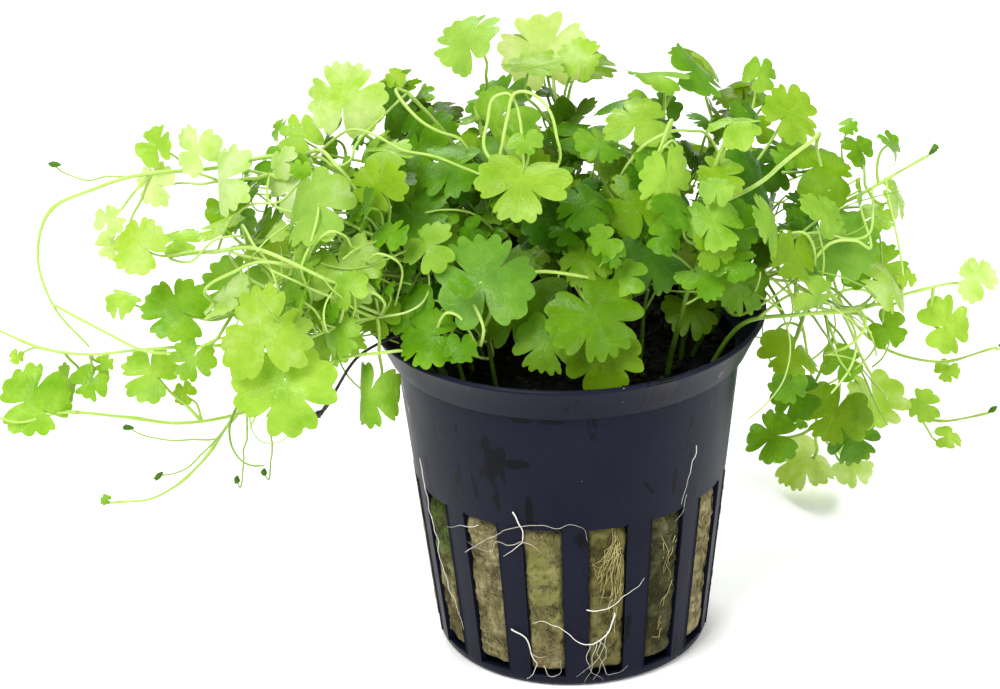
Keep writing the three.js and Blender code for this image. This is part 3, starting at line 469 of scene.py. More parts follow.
# Bare stalks that cross in front of the leaves: each one's radius and the route that shows.
ARCS = [
    (0.26, [[-8.4, -5, 54.5], [-6, -11, 55.6], [-2.9, -14, 57.1], [0.4, -15, 56.9], [2.6, -14, 55.9]]),
    (0.22, [[-15.7, -14, 47.4], [-16.3, -16, 50.7], [-15.2, -17, 53.2], [-13.8, -17, 52.6],
            [-12.6, -17, 50.7], [-11.4, -16, 48.3]]),
    (0.24, [[-12.8, -13, 53.6], [-11.5, -17, 53.5], [-10.7, -18, 51.5], [-11.1, -17, 48.7]]),
    (0.24, [[-8.1, -9, 68.7], [-7.6, -9, 72.6], [-6.9, -7, 75.1], [-6.1, -5, 76.9], [-4.9, -5, 77.2],
            [-3.2, -6, 76.8], [-1.8, -8, 75.7], [-1.1, -9, 73.1], [-0.7, -9, 69.8]]),
    (0.24, [[-9.8, -9, 71.4], [-9.3, -6, 74.1], [-8.6, -4, 76.2], [-6.9, -4, 76.7], [-5.9, -5, 75.7]]),
    (0.24, [[6.7, -6, 65.6], [8.2, -8, 69.1], [10.1, -9, 71.7], [12.6, -9, 73.1], [15.4, -7, 72.3],
            [17.8, -4, 70.4]]),
    (0.2, [[10.9, -10, 69.2], [11.8, -10, 71.4], [13.1, -9, 72], [14, -9, 70.6]]),
    (0.3, [[20.8, -9, 64.3], [23.9, -9, 66.1], [27.1, -7, 67.7], [30.6, -5, 69.8], [31.9, -2, 69.5],
           [31.8, 1, 66.5]]),
    (0.24, [[17.3, -9, 63.3], [17.8, -10, 67], [18.6, -11, 70.5], [19.7, -11, 73]]),
    (0.24, [[-20.8, 6, 73.8], [-19.9, 3, 73], [-17.9, 1, 71.6], [-15.5, 0, 70.2], [-12.8, 0, 69]]),
    (0.22, [[-30.3, -2, 68.1], [-28.7, -3, 67.3], [-26.7, -3, 68.1], [-26, -2, 69.7]]),
    (0.2, [[-37, -6, 64.3], [-33, -9, 63.4], [-29.3, -10, 62], [-26.7, -10, 59.7]]),
    (0.2, [[-40.8, -8, 57.8], [-36.9, -10, 57.6], [-33.3, -10, 56.1], [-29.7, -10, 54.3]]),
    (0.2, [[-45.6, -8, 49], [-41.1, -9, 51.4], [-36.6, -10, 52.4], [-32.2, -10, 52.3]]),
    (0.2, [[-52.8, -8, 44.8], [-48.4, -8, 44.7], [-44.5, -9, 46.7], [-39.9, -10, 48.4]]),
    (0.18, [[-50, -3, 55.5], [-47.2, -6, 56.2], [-43.8, -7, 59.5], [-40.7, -7, 59.9]]),
    (0.18, [[-41.9, -6, 61.4], [-39.2, -7, 64.1], [-35.5, -7, 64.6], [-33, -5, 66.1]]),
    (0.2, [[29.6, -2, 46.7], [33.3, -3, 45.7], [37.4, -3, 46.2], [42.3, -2, 46.3]]),
    (0.2, [[27.7, -8, 57.7], [30.8, -8, 58.7], [34.8, -6, 56.9], [38.2, -3, 56.3]]),
    (0.22, [[-45.1, -12, 54.7], [-41, -15, 58.6], [-37.1, -17, 60.7], [-32.9, -17, 59.8],
            [-28.7, -16, 57.3], [-24.3, -14, 54.9]]),
    (0.2, [[-40.2, -8, 61.8], [-38.8, -13, 61.3], [-36.8, -16, 60.3]]),
    (0.26, [[-37.4, -16, 61.9], [-34, -18, 61.1], [-30.2, -18, 58.8], [-26.9, -16, 56.2]]),
    (0.22, [[-28, -18, 53.4], [-27.4, -18, 55.8], [-25.9, -18, 57.1], [-23.9, -18, 56.7],
            [-22.7, -17, 54.8]]),
    (0.2, [[-33.3, -16, 51], [-31.8, -17, 55.5], [-32.6, -17, 59.5], [-31.3, -16, 63], [-30.5, -14, 65.5]]),
    (0.18, [[-30.5, -16, 63], [-29, -17, 64.5], [-27.2, -16, 63.4], [-26.5, -15, 61.6]]),
    (0.28, [[-30.1, -4, 69.9], [-28.3, -7, 69], [-26.7, -7, 66.8]]),
    (0.2, [[-26.6, -2, 71.7], [-23.1, -5, 72], [-19.9, -6, 70.4], [-15.5, -6, 69.2], [-11.8, -6, 67.5]]),
    (0.18, [[-25, -15, 59.5], [-23.3, -17, 61.4], [-21.6, -17, 60.8], [-20.5, -15, 58.2]]),
    (0.24, [[-31.3, -17, 46.7], [-26, -18, 48.4], [-19.9, -16, 47.8], [-14.3, -14, 46.4], [-9.8, -12, 44.5]]),
    (0.22, [[27.2, -8, 58.3], [29.6, -9, 59.1], [30.6, -9, 57.4], [30.9, -8, 53.5], [30.6, -7, 50.9]]),
    (0.22, [[30.5, -8, 54.7], [32.9, -9, 57.6], [35.8, -8, 57.5], [37.9, -6, 55.6]]),
]

# Fine rootlets on the wool inside the slots, as [angle from the front, height]
ROOTLETS = [
    [[16, 21.6], [14, 20.4], [11, 18], [8.6, 16.2]], [[16.4, 21], [14.6, 18.6], [12.2, 15.6], [9.4, 13.4]],
    [[16.8, 20], [15.6, 17], [14, 14], [12, 10.6]], [[15.4, 22], [12, 20.6], [9, 19.4], [6.8, 18.2]],
    [[17, 18.6], [16.6, 15], [15.4, 11], [14.6, 7.4]], [[41.6, 21], [39.6, 19], [36.6, 16.6], [35.4, 14]],
    [[33, 6], [35.4, 7], [39, 9], [41.6, 9.4]], [[41, 14], [38.6, 12.4], [36.8, 9.4], [36, 6.4]],
    [[34, 21], [36, 18.6], [39, 15.6], [40.8, 12]],
]

noise.seed_set(SEED)
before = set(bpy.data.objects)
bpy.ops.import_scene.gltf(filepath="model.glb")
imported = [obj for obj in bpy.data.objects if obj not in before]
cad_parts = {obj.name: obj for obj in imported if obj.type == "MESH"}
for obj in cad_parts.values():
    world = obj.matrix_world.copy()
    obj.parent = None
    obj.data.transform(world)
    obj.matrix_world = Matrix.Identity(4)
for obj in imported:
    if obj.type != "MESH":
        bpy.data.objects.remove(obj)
CAD_LOW, CAD_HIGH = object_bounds()
LOW, HIGH = (np.array(corner) / MM for corner in (CAD_LOW, CAD_HIGH))


def unit(rows):
    """Each row of an array at length 1."""
    return rows / np.maximum(np.linalg.norm(rows, axis=-1, keepdims=True), 1e-12)


def wander(line, amount, pitch, seed):
    """A line of points moved a little to the side, least at its two ends."""
    share = np.linspace(0, 1, len(line))[:, None]
    moves = [noise.noise_vector(Vector(point) / pitch + Vector((seed, 0, 0))) for point in line]
    return line + amount * np.array(moves) * np.sin(math.pi * share) ** 0.5


def spline(route, per_span=9):
    """A smooth line through the points of a route, eased by the square root of their distance."""
    points = np.array(route, float)
    points = np.vstack([2 * points[0] - points[1], points, 2 * points[-1] - points[-2]])
    place = np.linspace(0, 1, per_span, endpoint=False)[:, None]
    line = []
    for a, b, c, d in zip(points, points[1:], points[2:], points[3:]):
        before, here, after = (math.sqrt(np.linalg.norm(q - p)) for p, q in ((a, b), (b, c), (c, d)))
        leave = ((b - a) / before - (c - a) / (before + here) + (c - b) / here) * here
        arrive = ((c - b) / here - (d - b) / (here + after) + (d - c) / after) * here
        line.append(b + leave * place + (3 * (c - b) - 2 * leave - arrive) * place ** 2
                    + (2 * (b - c) + leave + arrive) * place ** 3)
    return np.vstack([*line, points[-2:-1]])


def at_share(line, share):
    """The point at a share of a line's length."""
    steps = np.r_[0, np.cumsum(np.linalg.norm(np.diff(line, axis=0), axis=1))]
    return np.array([np.interp(share * steps[-1], steps, line[:, k]) for k in range(3)])


def leaf_axes(turn, tilt, clock):
    """A leaf's axes: across, toward the tip of its middle lobe, and out of its upper face."""
    t, e, c = (math.radians(angle) for angle in (turn, tilt, clock))
    face = np.array([math.sin(t) * math.cos(e), -math.cos(t) * math.cos(e), math.sin(e)])
    up = np.array([-math.sin(t) * math.sin(e), math.cos(t) * math.sin(e), math.cos(e)])
    tip = up * math.cos(c) + np.cross(up, face) * math.sin(c)
    return np.cross(tip, face), tip, face


class Piece:
    """Collects the points and faces of one piece, in millimetres, and makes it an object."""

    def __init__(self):
        self.points, self.faces, self.materials, self.leaf, self.tone = [], [], [], [], []
        self.count = 0

    def add(self, points, faces, material=0, leaf=None, tone=(0.5, 0.5)):
        """Adds points with faces of one size, their leaf places and their tone."""
        self.points.append(points)
        self.leaf.append(np.zeros((len(points), 2)) if leaf is None else leaf)
        self.tone.append(np.broadcast_to(np.asarray(tone, float), (len(points), 2)))
        self.count += len(points)
        self.more_faces(faces, material)

    def more_faces(self, faces, material=0):
        """Adds faces of one size to the points that were added last."""
        faces = np.asarray(faces, int)
        self.faces.append(faces + self.count - len(self.points[-1]))
        self.materials.append(np.full(len(faces), material))

    def finish(self, name, materials, slot, replaces=()):
        """Makes the object, and has it ride on the pot's body in place of its CAD nodes. A leaf's
        edge goes no further out than the CAD box does."""
        mesh = bpy.data.meshes.new(name)
        points = np.clip(np.vstack(self.points) * MM, CAD_LOW, CAD_HIGH)
        corners = np.concatenate([faces.ravel() for faces in self.faces])
        sizes = np.concatenate([np.full(len(faces), faces.shape[1]) for faces in self.faces])
        mesh.vertices.add(len(points))
        mesh.vertices.foreach_set("co", points.ravel())
        mesh.loops.add(len(corners))
        mesh.loops.foreach_set("vertex_index", corners)
        mesh.polygons.add(len(sizes))
        mesh.polygons.foreach_set("loop_start", np.cumsum(sizes) - sizes)
        mesh.polygons.foreach_set("loop_total", sizes)
        mesh.polygons.foreach_set("material_index", np.concatenate(self.materials))
        mesh.polygons.foreach_set("use_smooth", np.full(len(sizes), True))
        for layer, values in ((LEAF_UV, self.leaf), (TONE_UV, self.tone)):
            mesh.uv_layers.new(name=layer).uv.foreach_set("vector", np.vstack(values)[corners].ravel())
        mesh.update(calc_edges=True)
        mesh.validate()
        for material in materials:
            mesh.materials.append(MATERIALS[material])
        piece = bpy.data.objects.new(name, mesh)
        bpy.context.scene.collection.objects.link(piece)
        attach(piece, "root")
        if replaces:
            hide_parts(*replaces)
        return piece


def fan(edge, after, point):
    """Triangles from the edge of a ring to one point."""
    return np.stack([edge, after, np.full(len(edge), point)], 1)


def add_rings(piece, rings, first=None, last=None, material=0, leaf=None, tone=(0.5, 0.5)):
    """A skin over a stack of rings, closed at either end by a point where one is given."""
    here = np.arange(rings.shape[0] * rings.shape[1]).reshape(rings.shape[:2])
    beside = np.roll(here, -1, axis=1)
    quads = np.stack([here[:-1], beside[:-1], beside[1:], here[1:]], -1).reshape(-1, 4)
    ends = [point for point in (first, last) if point is not None]
    piece.add(np.vstack([rings.reshape(-1, 3), *ends]), quads, material, leaf, tone)
    if first is not None:
        piece.more_faces(fan(beside[0], here[0], here.size), material)
    if last is not None:
        piece.more_faces(fan(here[-1], beside[-1], here.size + len(ends) - 1), material)


def add_tube(piece, line, radii, sides, material=0, tone=(0.5, 0.5)):
    """A round tube along a line, closed at both ends by a point. Its tone is one pair, or one
    for each point of the line."""
    line = np.asarray(line, float)
    radii = np.broadcast_to(radii, (len(line),))
    ahead = unit(np.gradient(line, axis=0))
    side = np.empty_like(line)
    side[0] = unit(np.cross(ahead[0], [0.3, 0.9, 0.2]))
    for i in range(1, len(line)):
        side[i] = unit(side[i - 1] - ahead[i] * (side[i - 1] @ ahead[i]))
    other = np.cross(ahead, side)
    turn = (2 * math.pi * np.arange(sides) / sides)[None, :, None]
    ring = side[:, None] * np.cos(turn) + other[:, None] * np.sin(turn)
    rings = line[:, None] + ring * radii[:, None, None]
    if np.ndim(tone) == 2:
        tone = np.vstack([np.repeat(tone, sides, 0), tone[0], tone[-1]])
    first, last = line[0] - ahead[0] * radii[0], line[-1] + ahead[-1] * radii[-1]
    add_rings(piece, rings, first, last, material, tone=tone)


def lobe_outline(angles, cut, sharpness, length, teeth, depth):
    """How far a blade's edge lies from its middle, as a share of its radius. Each lobe widens
    to a blunt tip, and has its own length and rounded teeth. The notch for the stalk is
    opposite the middle lobe."""
    spread = angles + LOBE_GATHER * np.sin(angles)
    lobe = np.clip(np.round(spread / LOBE_SPACING), -1, 1)
    side = (spread - lobe * LOBE_SPACING) / (LOBE_SPACING / 2)
    across = np.abs(side)
    rear = np.abs(spread) > LOBE_SPACING
    corner = np.where(rear, 0, LOBE_CORNERS)
    reach = 1 + corner * across ** 2 - (corner + np.where(rear, NOTCH_DEPTH, cut)) * across ** sharpness
    which = lobe.astype(int) + 1
    reach *= 1 + (length[which] - 1) * (1 - across ** 2)
    phase = math.pi * teeth[which] * (side + 1) / 2
    tooth = np.abs(np.sin(phase)) ** 0.55 + 0.12 * np.abs(np.sin(2.2 * phase)) ** 0.6
    return reach * (1 - depth[which] * (1.1 - tooth))


def curled(x, y, height, amount, heading, radius):
    """A blade rolled over a cylinder whose axis lies square to a heading."""
    reach = x * math.cos(heading) + y * math.sin(heading)
    turn = amount * reach / radius
    moved = np.sin(turn) * radius / amount - reach
    drop = (1 - np.cos(turn)) * radius / amount
    return x + moved * math.cos(heading), y + moved * math.sin(heading), height - drop


def relief(x, y, angles, share, radius, rng):
    """How high each point of a blade lies: it droops, folds along its lobes, ripples and leans."""
    beside = np.abs(angles - np.round(angles / LOBE_SPACING) * LOBE_SPACING) / (LOBE_SPACING / 2)
    droop, fold, ripple = rng.uniform(*DROOPS), rng.uniform(*FOLDS), rng.uniform(*RIPPLES)
    lean = rng.normal(0, LEAN, 2)
    waves = np.sin(rng.integers(*RIPPLE_COUNTS) * angles + rng.uniform(0, 6))
    height = radius * (-droop * share ** 2 + fold * share * beside ** 2 + ripple * share ** 2 * waves)
    height += radius * rng.uniform(*SADDLES) * share ** 2 * np.sin(2 * angles + rng.uniform(0, 6))
    return height + (lean[0] * x + lean[1] * y) * share


def add_blade(piece, centre, radius, axes, cut, tone, rng, curl=None):
    """A thin blade with three toothed lobes, rolled as its curl says or by chance."""
    columns = next(count for limit, count in BLADE_COLUMNS if radius < limit)
    angles = np.linspace(-math.pi, math.pi, columns, endpoint=False)
    teeth = rng.choice(TEETH if radius > FEW_TEETH_BELOW else FEW_TEETH, 3)
    cut = min(cut * rng.uniform(*CUTS), CUT_LIMIT)
    outline = lobe_outline(angles, cut, rng.uniform(*SHARPNESS), rng.uniform(*LOBE_LENGTHS, 3), teeth,
                           rng.uniform(*TOOTH_DEPTHS, 3))
    rings = (np.arange(1, BLADE_RINGS + 1) / BLADE_RINGS)[:, None]
    away = radius * rings * outline
    x, y = away * np.sin(angles), away * np.cos(angles)
    leaf = np.vstack([np.stack([x, y], -1).reshape(-1, 2), [0, 0]])
    height = relief(x, y, angles, away / radius, radius, rng)
    if curl is None:
        curl = (CURL_LEAST + min(abs(rng.normal(0, CURL_SPREAD)), CURL_MOST), rng.uniform(0, 2 * math.pi))
    shape = np.stack(curled(x, y, height, *curl, radius), -1)
    add_rings(piece, centre + shape @ np.array(axes), first=centre, leaf=0.5 + 0.4 * leaf / radius, tone=tone)


def add_stalk(piece, start, centre, radius, axes, tone, rng):
    """A thin stalk that springs from a stem and comes up under a blade."""
    _, tip, face = axes
    centre = centre - face * STALK_SHORT
    bend = centre - tip * STALK_SETBACK * radius - face * STALK_ARCH * np.linalg.norm(start - centre)
    place = np.linspace(0, 1, STALK_POINTS)[:, None]
    stalk = start * (1 - place) ** 2 + bend * 2 * place * (1 - place) + centre * place ** 2
    stalk = wander(stalk, *STALK_WANDER, rng.uniform(0, 50))
    radii = np.linspace(*STALK_RADIUS, len(stalk)) * min(1.0, 0.5 + radius / 12)
    # The stalk's tone follows its leaf's, painted light and shade included.
    add_tube(piece, stalk, radii, STALK_SIDES, 1, tone=(0.42 + 0.45 * tone[0], 0.2))


def add_leaf(piece, start, centre, radius, axes, cut, tone, rng, curl=None):
    """A blade with the stalk that carries it."""
    add_stalk(piece, start, centre, radius, axes, tone, rng)
    add_blade(piece, centre, radius, axes, cut, tone, rng, curl)


def add_bud(piece, start, centre, axes, rng):
    """A closed bud, a small knob of folded leaves, on its stalk."""
    add_stalk(piece, start, centre, BUD_RADIUS, axes, (0.5, 0), rng)
    ahead = unit(centre - start + rng.normal(0, 0.05, 3))
    place = np.linspace(*BUD_REACH, len(BUD_RADII))[:, None]
    add_tube(piece, centre + ahead * place, BUD_RADII, STEM_SIDES, tone=(0.3, 0.2))
    for _ in range(BUD_LEAVES):
        turned = leaf_axes(rng.uniform(-90, 90), rng.uniform(0, 60), rng.uniform(0, 360))
        place = centre + ahead * rng.uniform(0, 0.5)
        add_blade(piece, place, BUD_LEAF_RADIUS, turned, 0.3, (0.36, 0.3), rng, (1.5, 0.0))


def shade_casters(centre):
    """How many of the larger leaves lie over a place, toward the light, for the painted shade."""
    light = unit(TOWARD_LIGHT)
    offsets = LARGE_LEAVES[:, :3] - centre
    along = offsets @ light
    beside = np.linalg.norm(offsets - along[:, None] * light, axis=1)
    nearest, furthest = COVER_DEPTHS
    return int(((along > nearest) & (along < furthest) & (beside < COVER_WIDTH)).sum())


def climb(value, step):
    """How far a value has come over a step: 0 at its start and 1 at its end."""
    start, span = step
    return (value - start) / span


def leaf_tone(centre, rng):
    """How pale a leaf is, and a second value by chance. The paleness holds painted light and shade:
    the high ones and those out to the sides are painted paler, and those with others over them
    toward the light are painted darker, as painted shade."""
    low = np.clip(climb(centre[2], PALER_LOW), PALER_LOW_LEAST, 1)
    # Painted light: leaves to the left, to the right and high up are paler.
    left = np.clip(climb(-centre[0], PALER_LEFT), 0, 1) * LIT_TONE_LEFT * low
    right = np.clip(climb(centre[0], PALER_RIGHT), 0, 1) * LIT_TONE_RIGHT
    high = np.clip(climb(centre[2], PALER_HIGH), 0, 1) * LIT_TONE_HIGH
    # Painted shade: darker for each larger leaf that lies over this one toward the light.
    shade = SHADE_TONE_COVERED * min(shade_casters(centre), COVER_MOST) * (1 - left - right)
    pale = TONE_MIDDLE + left + right + high - shade + rng.normal(0, TONE_SPREAD)
    return float(np.clip(pale, *TONE_RANGE)), rng.uniform(0, 1)


def shoot(name, route, leaves, seed):
    """One stem with its leaves, which stands for the CAD node of that name. The stem is thicker
    where a stalk springs from it, painted dark in the heart of the plant as painted shade, and pale outside
    it."""
    rng = np.random.default_rng(SEED + seed)
    kind = name.split("_")[0]
    (thick, thin), slot, skins = KINDS[kind]
    line = wander(spline(route), *STEM_WANDER, seed * 3.1)
    piece = Piece()
    share = np.linspace(0, 1, len(line))
    beside = [(share - min(leaf[8], 0.98)) * len(line) / STEM_KNOT_LENGTH for leaf in leaves]
    knots = [STEM_KNOT * np.exp(-place ** 2) for place in beside]
    radii = thick + (thin - thick) * share + np.max(knots, axis=0)
    away = np.hypot(line[:, 0], line[:, 1])
    # Painted shade: the stem's tone is dark near the pot's axis and low down, paler out and up.
    reach = np.maximum(climb(away, STEM_SHADE_FADES_OUT), climb(line[:, 2], STEM_SHADE_FADES_UP))
    variety = np.full(len(line), 0.5 if kind == "runner" else 0.2)
    add_tube(piece, line, radii, STEM_SIDES, 1, tone=np.stack([np.clip(reach, 0, STEM_PALEST), variety], 1))
    for index, (x, y, z, radius, turn, tilt, clock, cut, along) in enumerate(leaves):
        centre = np.array([x, y, z], float)
        start, axes = at_share(line, along), leaf_axes(turn, tilt, clock)
        if radius < BUD_RADIUS:
            add_bud(piece, start, centre, axes, rng)
            continue
        pale, variety = leaf_tone(centre, rng)
        tone = (TONES.get((name, index), pale), variety)
        add_leaf(piece, start, centre, radius, axes, cut, tone, rng, CURLS.get((name, index)))
    piece.finish(f"leafy_{name}", skins, slot, [name])
    return line


def front_rows():
    """The rows of the table, with each foot's height and the numbers that leaves leave out."""
    rows = {}
    for name, ((foot, *route), leaves) in SHOOTS.items():
        given = [leaf + LEAF_ENDING[len(leaf) + len(LEAF_ENDING) - LEAF_NUMBERS:] for leaf in leaves]
        rows[name] = ([[*foot, FOOT], *route], given)
    return rows


def back_rows():
    """The shoots at the back, as rows like the others."""
    rows = {}
    for index in range(BACK_SHOOTS):
        azimuth = BACK_FROM + BACK_STEP * index
        sine, cosine = math.sin(math.radians(azimuth)), math.cos(math.radians(azimuth))
        stem, leaves = (LOW_BACK_STEM, LOW_BACK_LEAVES) if index % 2 else (BACK_STEM, BACK_LEAVES)
        rows[f"shoot_back_{index + 1}"] = (
            [[radius * cosine, radius * sine, z] for radius, z in [BACK_FOOT, *stem]],
            [[radius * cosine - aside * sine, radius * sine + aside * cosine, z, lobe, azimuth + 90,
              BACK_TILT, BACK_CLOCK * (i - 1), BACK_CUT, 1]
             for i, (radius, z, lobe, aside) in enumerate(leaves)])
    return rows


def wall_radius(z):
    """The outer radius of the pot's wall at a height."""
    return BASE_RADIUS + (BODY_TOP_RADIUS - BASE_RADIUS) * z / COLLAR_Z


def round_pot(radius, angle, z):
    """Points at a radius, an angle from the front and a height."""
    radius, angle, z = np.broadcast_arrays(radius, angle, z)
    return np.stack([radius * np.sin(angle), -radius * np.cos(angle), z], -1)


def roots():
    """Each root is a set of thin tubes that taper along the wall. The first is the thickest."""
    rng = np.random.default_rng(SEED)
    for name, (radius, lines) in ROOTS.items():
        piece = Piece()
        for i, line in enumerate(lines):
            angle, z = np.radians(line)[:, 0], np.maximum(line, ROOT_LOWEST)[:, 1]
            route = round_pot(wall_radius(z) + ROOT_CLEARANCE, angle, z)
            path = wander(spline(route, 7), *ROOT_WANDER, rng.uniform(0, 50))
            thick, pale = (ROOT_BRANCH, ROOT_TONES[1]) if i else (1, ROOT_TONES[0])
            thick *= ROOT_SHARE * radius
            add_tube(piece, path, np.linspace(thick, thick * ROOT_TIP, len(path)), 6, tone=(pale, 0))
        piece.finish(f"fine_{name}", ["root"], "root", [name])


def pot_rows():
    """The rings of the wall and its lip: outer radius, height, inner radius, height."""
    side = [np.linspace(SLOT_BOTTOM, SLOT_TOP, SLOT_ROWS), np.linspace(SLOT_TOP, COLLAR_Z, BODY_ROWS)[1:]]
    rows = [(wall_radius(BASE_CHAMFER), BASE_CHAMFER, wall_radius(WALL) - WALL, WALL)]
    rows += [(wall_radius(z), z, wall_radius(z) - WALL, z) for z in np.concatenate(side)]
    rows += [(COLLAR_RADIUS, COLLAR_Z, COLLAR_RADIUS - WALL, COLLAR_Z + WALL)]
    for share in FLARE_SHARES:
        radius = COLLAR_RADIUS + (RIM_RADIUS - COLLAR_RADIUS) * share
        outer, inner = (rise * share for rise in FLARE_RISES)
        rows.append((radius, COLLAR_Z + outer, radius - WALL, COLLAR_Z + WALL + inner))
    half = WALL / 2
    for turn in LIP_TURNS:
        rise, spread = half * math.sin(math.pi * turn), half * math.cos(math.pi * turn)
        z = POT_HEIGHT - half + rise
        rows.append((RIM_RADIUS - half + spread, z, RIM_RADIUS - half - spread, z))
    return np.array(rows)


def wall_faces(out, into, is_open):
    """Outer and inner faces for the cells that aren't open, and the sides of those that are."""
    faces = []
    rows, columns = is_open.shape
    for i in range(rows):
        for j in range(columns):
            k = (j + 1) % columns
            upright = [out[i, j], into[i, j], into[i + 1, j], out[i + 1, j]]
            level = [out[i, j], out[i, k], into[i, k], into[i, j]]
            if not is_open[i, j]:
                faces.append([out[i, j], out[i, k], out[i + 1, k], out[i + 1, j]])
                faces.append([into[i, k], into[i, j], into[i + 1, j], into[i + 1, k]])
            if is_open[i, j] != is_open[i, j - 1]:
                faces.append(upright[::-1] if is_open[i, j] else upright)
            if i and is_open[i, j] != is_open[i - 1, j]:
                faces.append(level if is_open[i, j] else level[::-1])
    return faces


def pot():
    """The pot is a grid of cells round it, without those of the slots. Its rim is a rounded lip
    and its floor is closed."""
    slot = np.linspace(-SLOT_HALF_ANGLE, SLOT_HALF_ANGLE, COLUMNS_PER_SLOT + 1)[:-1]
    rib = np.linspace(SLOT_HALF_ANGLE, SLOT_PITCH - SLOT_HALF_ANGLE, COLUMNS_PER_RIB + 1)[:-1]
    angles = np.concatenate([(i + 0.5) * SLOT_PITCH + np.r_[slot, rib] for i in range(SLOTS)])
    is_slot = np.tile(np.r_[slot, rib] < SLOT_HALF_ANGLE, SLOTS)
    rows = pot_rows()
    middle = (rows[:-1, 1] + rows[1:, 1]) / 2
    is_open = ((middle > SLOT_BOTTOM) & (middle < SLOT_TOP))[:, None] & is_slot
    rings = [round_pot(rows[:, k:k + 1], angles, rows[:, k + 1:k + 2]).reshape(-1, 3) for k in (0, 2)]
    rings += [round_pot(BASE_RADIUS - inward, angles, z) for inward, z in UNDERSIDE]
    out = np.arange(len(rows) * len(angles)).reshape(len(rows), -1)
    into = out + out.size
    edge, foot = into.max() + 1 + np.arange(2 * len(angles)).reshape(2, -1)
    piece = Piece()
    piece.add(np.vstack([*rings, [[0, 0, 0], [0, 0, WALL]]]), wall_faces(out, into, is_open))
    for low, high in ((edge, out[0]), (foot, edge)):
        piece.more_faces(np.stack([low, np.roll(low, -1), np.roll(high, -1), high], 1))
    piece.more_faces(fan(np.roll(foot, -1), foot, foot.max() + 1))
    piece.more_faces(fan(into[0], np.roll(into[0], -1), foot.max() + 2))
    made = piece.finish("moulded_pot", ["pot"], "pot_plastic", ["pot"])
    made.modifiers.new("weld", "WELD").merge_threshold = 0.01 * MM
    bevel = made.modifiers.new("edges", "BEVEL")
    bevel.width = EDGE_ROUNDING * MM
    bevel.segments = 2
    bevel.angle_limit = math.radians(40)
    bevel.harden_normals = True


def plug_side(angle, z):
    """The plug's radius: rounded at its foot, and swollen a little into each slot."""
    edge = math.cos(SLOT_HALF_ANGLE / SLOT_PITCH * 2 * math.pi)
    swell = np.clip((np.cos((angle / SLOT_PITCH - 0.5) * 2 * math.pi) - edge) / (1 - edge), 0, 1)
    short = np.maximum(PLUG_BOTTOM + PLUG_ROUND - z, 0)
    rounding = PLUG_ROUND - np.sqrt(np.maximum(PLUG_ROUND ** 2 - short ** 2, 0))
    swell = PLUG_SWELL * swell ** PLUG_SWELL_POWER * np.clip((SLOT_TOP - z) / PLUG_SWELL_FADE, 0, 1)
    return wall_radius(z) - WALL - PLUG_CLEARANCE + swell - rounding


def lumpy(points, amount, pitch, seed):
    """How far each point is pushed out by soft noise."""
    aside = Vector((seed, 0, 0))
    pushes = [noise.fractal(Vector(point) / pitch + aside, 0.6, 2.1, 4) for point in points.reshape(-1, 3)]
    return amount * np.array(pushes).reshape(points.shape[:-1])


def plug():
    """The wool: a lumpy side, and a rough dark top."""
    angles = np.linspace(0, 2 * math.pi, WOOL_COLUMNS, endpoint=False)
    rows = [(share, PLUG_BOTTOM) for share in np.linspace(*WOOL_UNDER)]
    rows += [(1.0, z) for z in np.linspace(PLUG_BOTTOM, PLUG_TOP, WOOL_ROWS)]
    rows += [(share, PLUG_TOP) for share in np.linspace(*WOOL_OVER)]
    share, z = np.array(rows)[:, :1], np.array(rows)[:, 1:]
    radius = share * plug_side(angles, z)
    points = round_pot(radius, angles, z)
    push = sum(lumpy(points, *lumps) for lumps in LUMPS)
    points = round_pot(radius + np.where(share == 1, np.clip(push, *LUMP_RANGE), 0), angles,
                       z + np.where((share < 1) & (z > PLUG_BOTTOM), push * TOP_LUMPS, 0))
    piece = Piece()
    add_rings(piece, points, points[0].mean(0), points[-1].mean(0))
    piece.finish("wool", ["wool"], "wool_plug", ["wool_plug"])


def fibre_tone(degrees):
    """How bright the loose fibres are at an angle from the front."""
    slot = min(FIBRE_TONES, key=lambda middle: abs(middle - degrees))
    return FIBRE_TONES[slot] if abs(slot - degrees) < FIBRE_TONE_REACH else 1.0


def fibres():
    """Loose fibres on the wool in the slots, each a thin bent tube."""
    rng = np.random.default_rng(SEED + 1)
    piece = Piece()
    place = np.linspace(-0.5, 0.5, 5)
    for _ in range(FIBRES):
        angle = (rng.integers(SLOTS) + 0.5) * SLOT_PITCH + rng.uniform(-1, 1) * SLOT_HALF_ANGLE
        angle = (angle + math.pi) % (2 * math.pi) - math.pi
        z = rng.uniform(PLUG_BOTTOM + 2, SLOT_TOP)
        length, lean = rng.uniform(*FIBRE_LENGTHS), rng.uniform(-FIBRE_LEAN, FIBRE_LEAN)
        heights = np.clip(z + place * length * math.cos(lean), PLUG_BOTTOM + 1, SLOT_TOP - 0.2)
        bend = rng.uniform(-FIBRE_BEND, FIBRE_BEND)
        aside = place * length * math.sin(lean) + bend * place ** 2 * length
        turned = angle + aside / wall_radius(heights)
        out = plug_side(turned, heights) + rng.uniform(*FIBRE_DEPTHS)
        line, radius = round_pot(out, turned, heights), rng.uniform(*FIBRE_RADII)
        add_tube(piece, line, radius, 3, tone=(fibre_tone(math.degrees(angle)) * rng.uniform(0, 1), 0))
    piece.finish("wool_fibres", ["fibre"], "wool_plug")


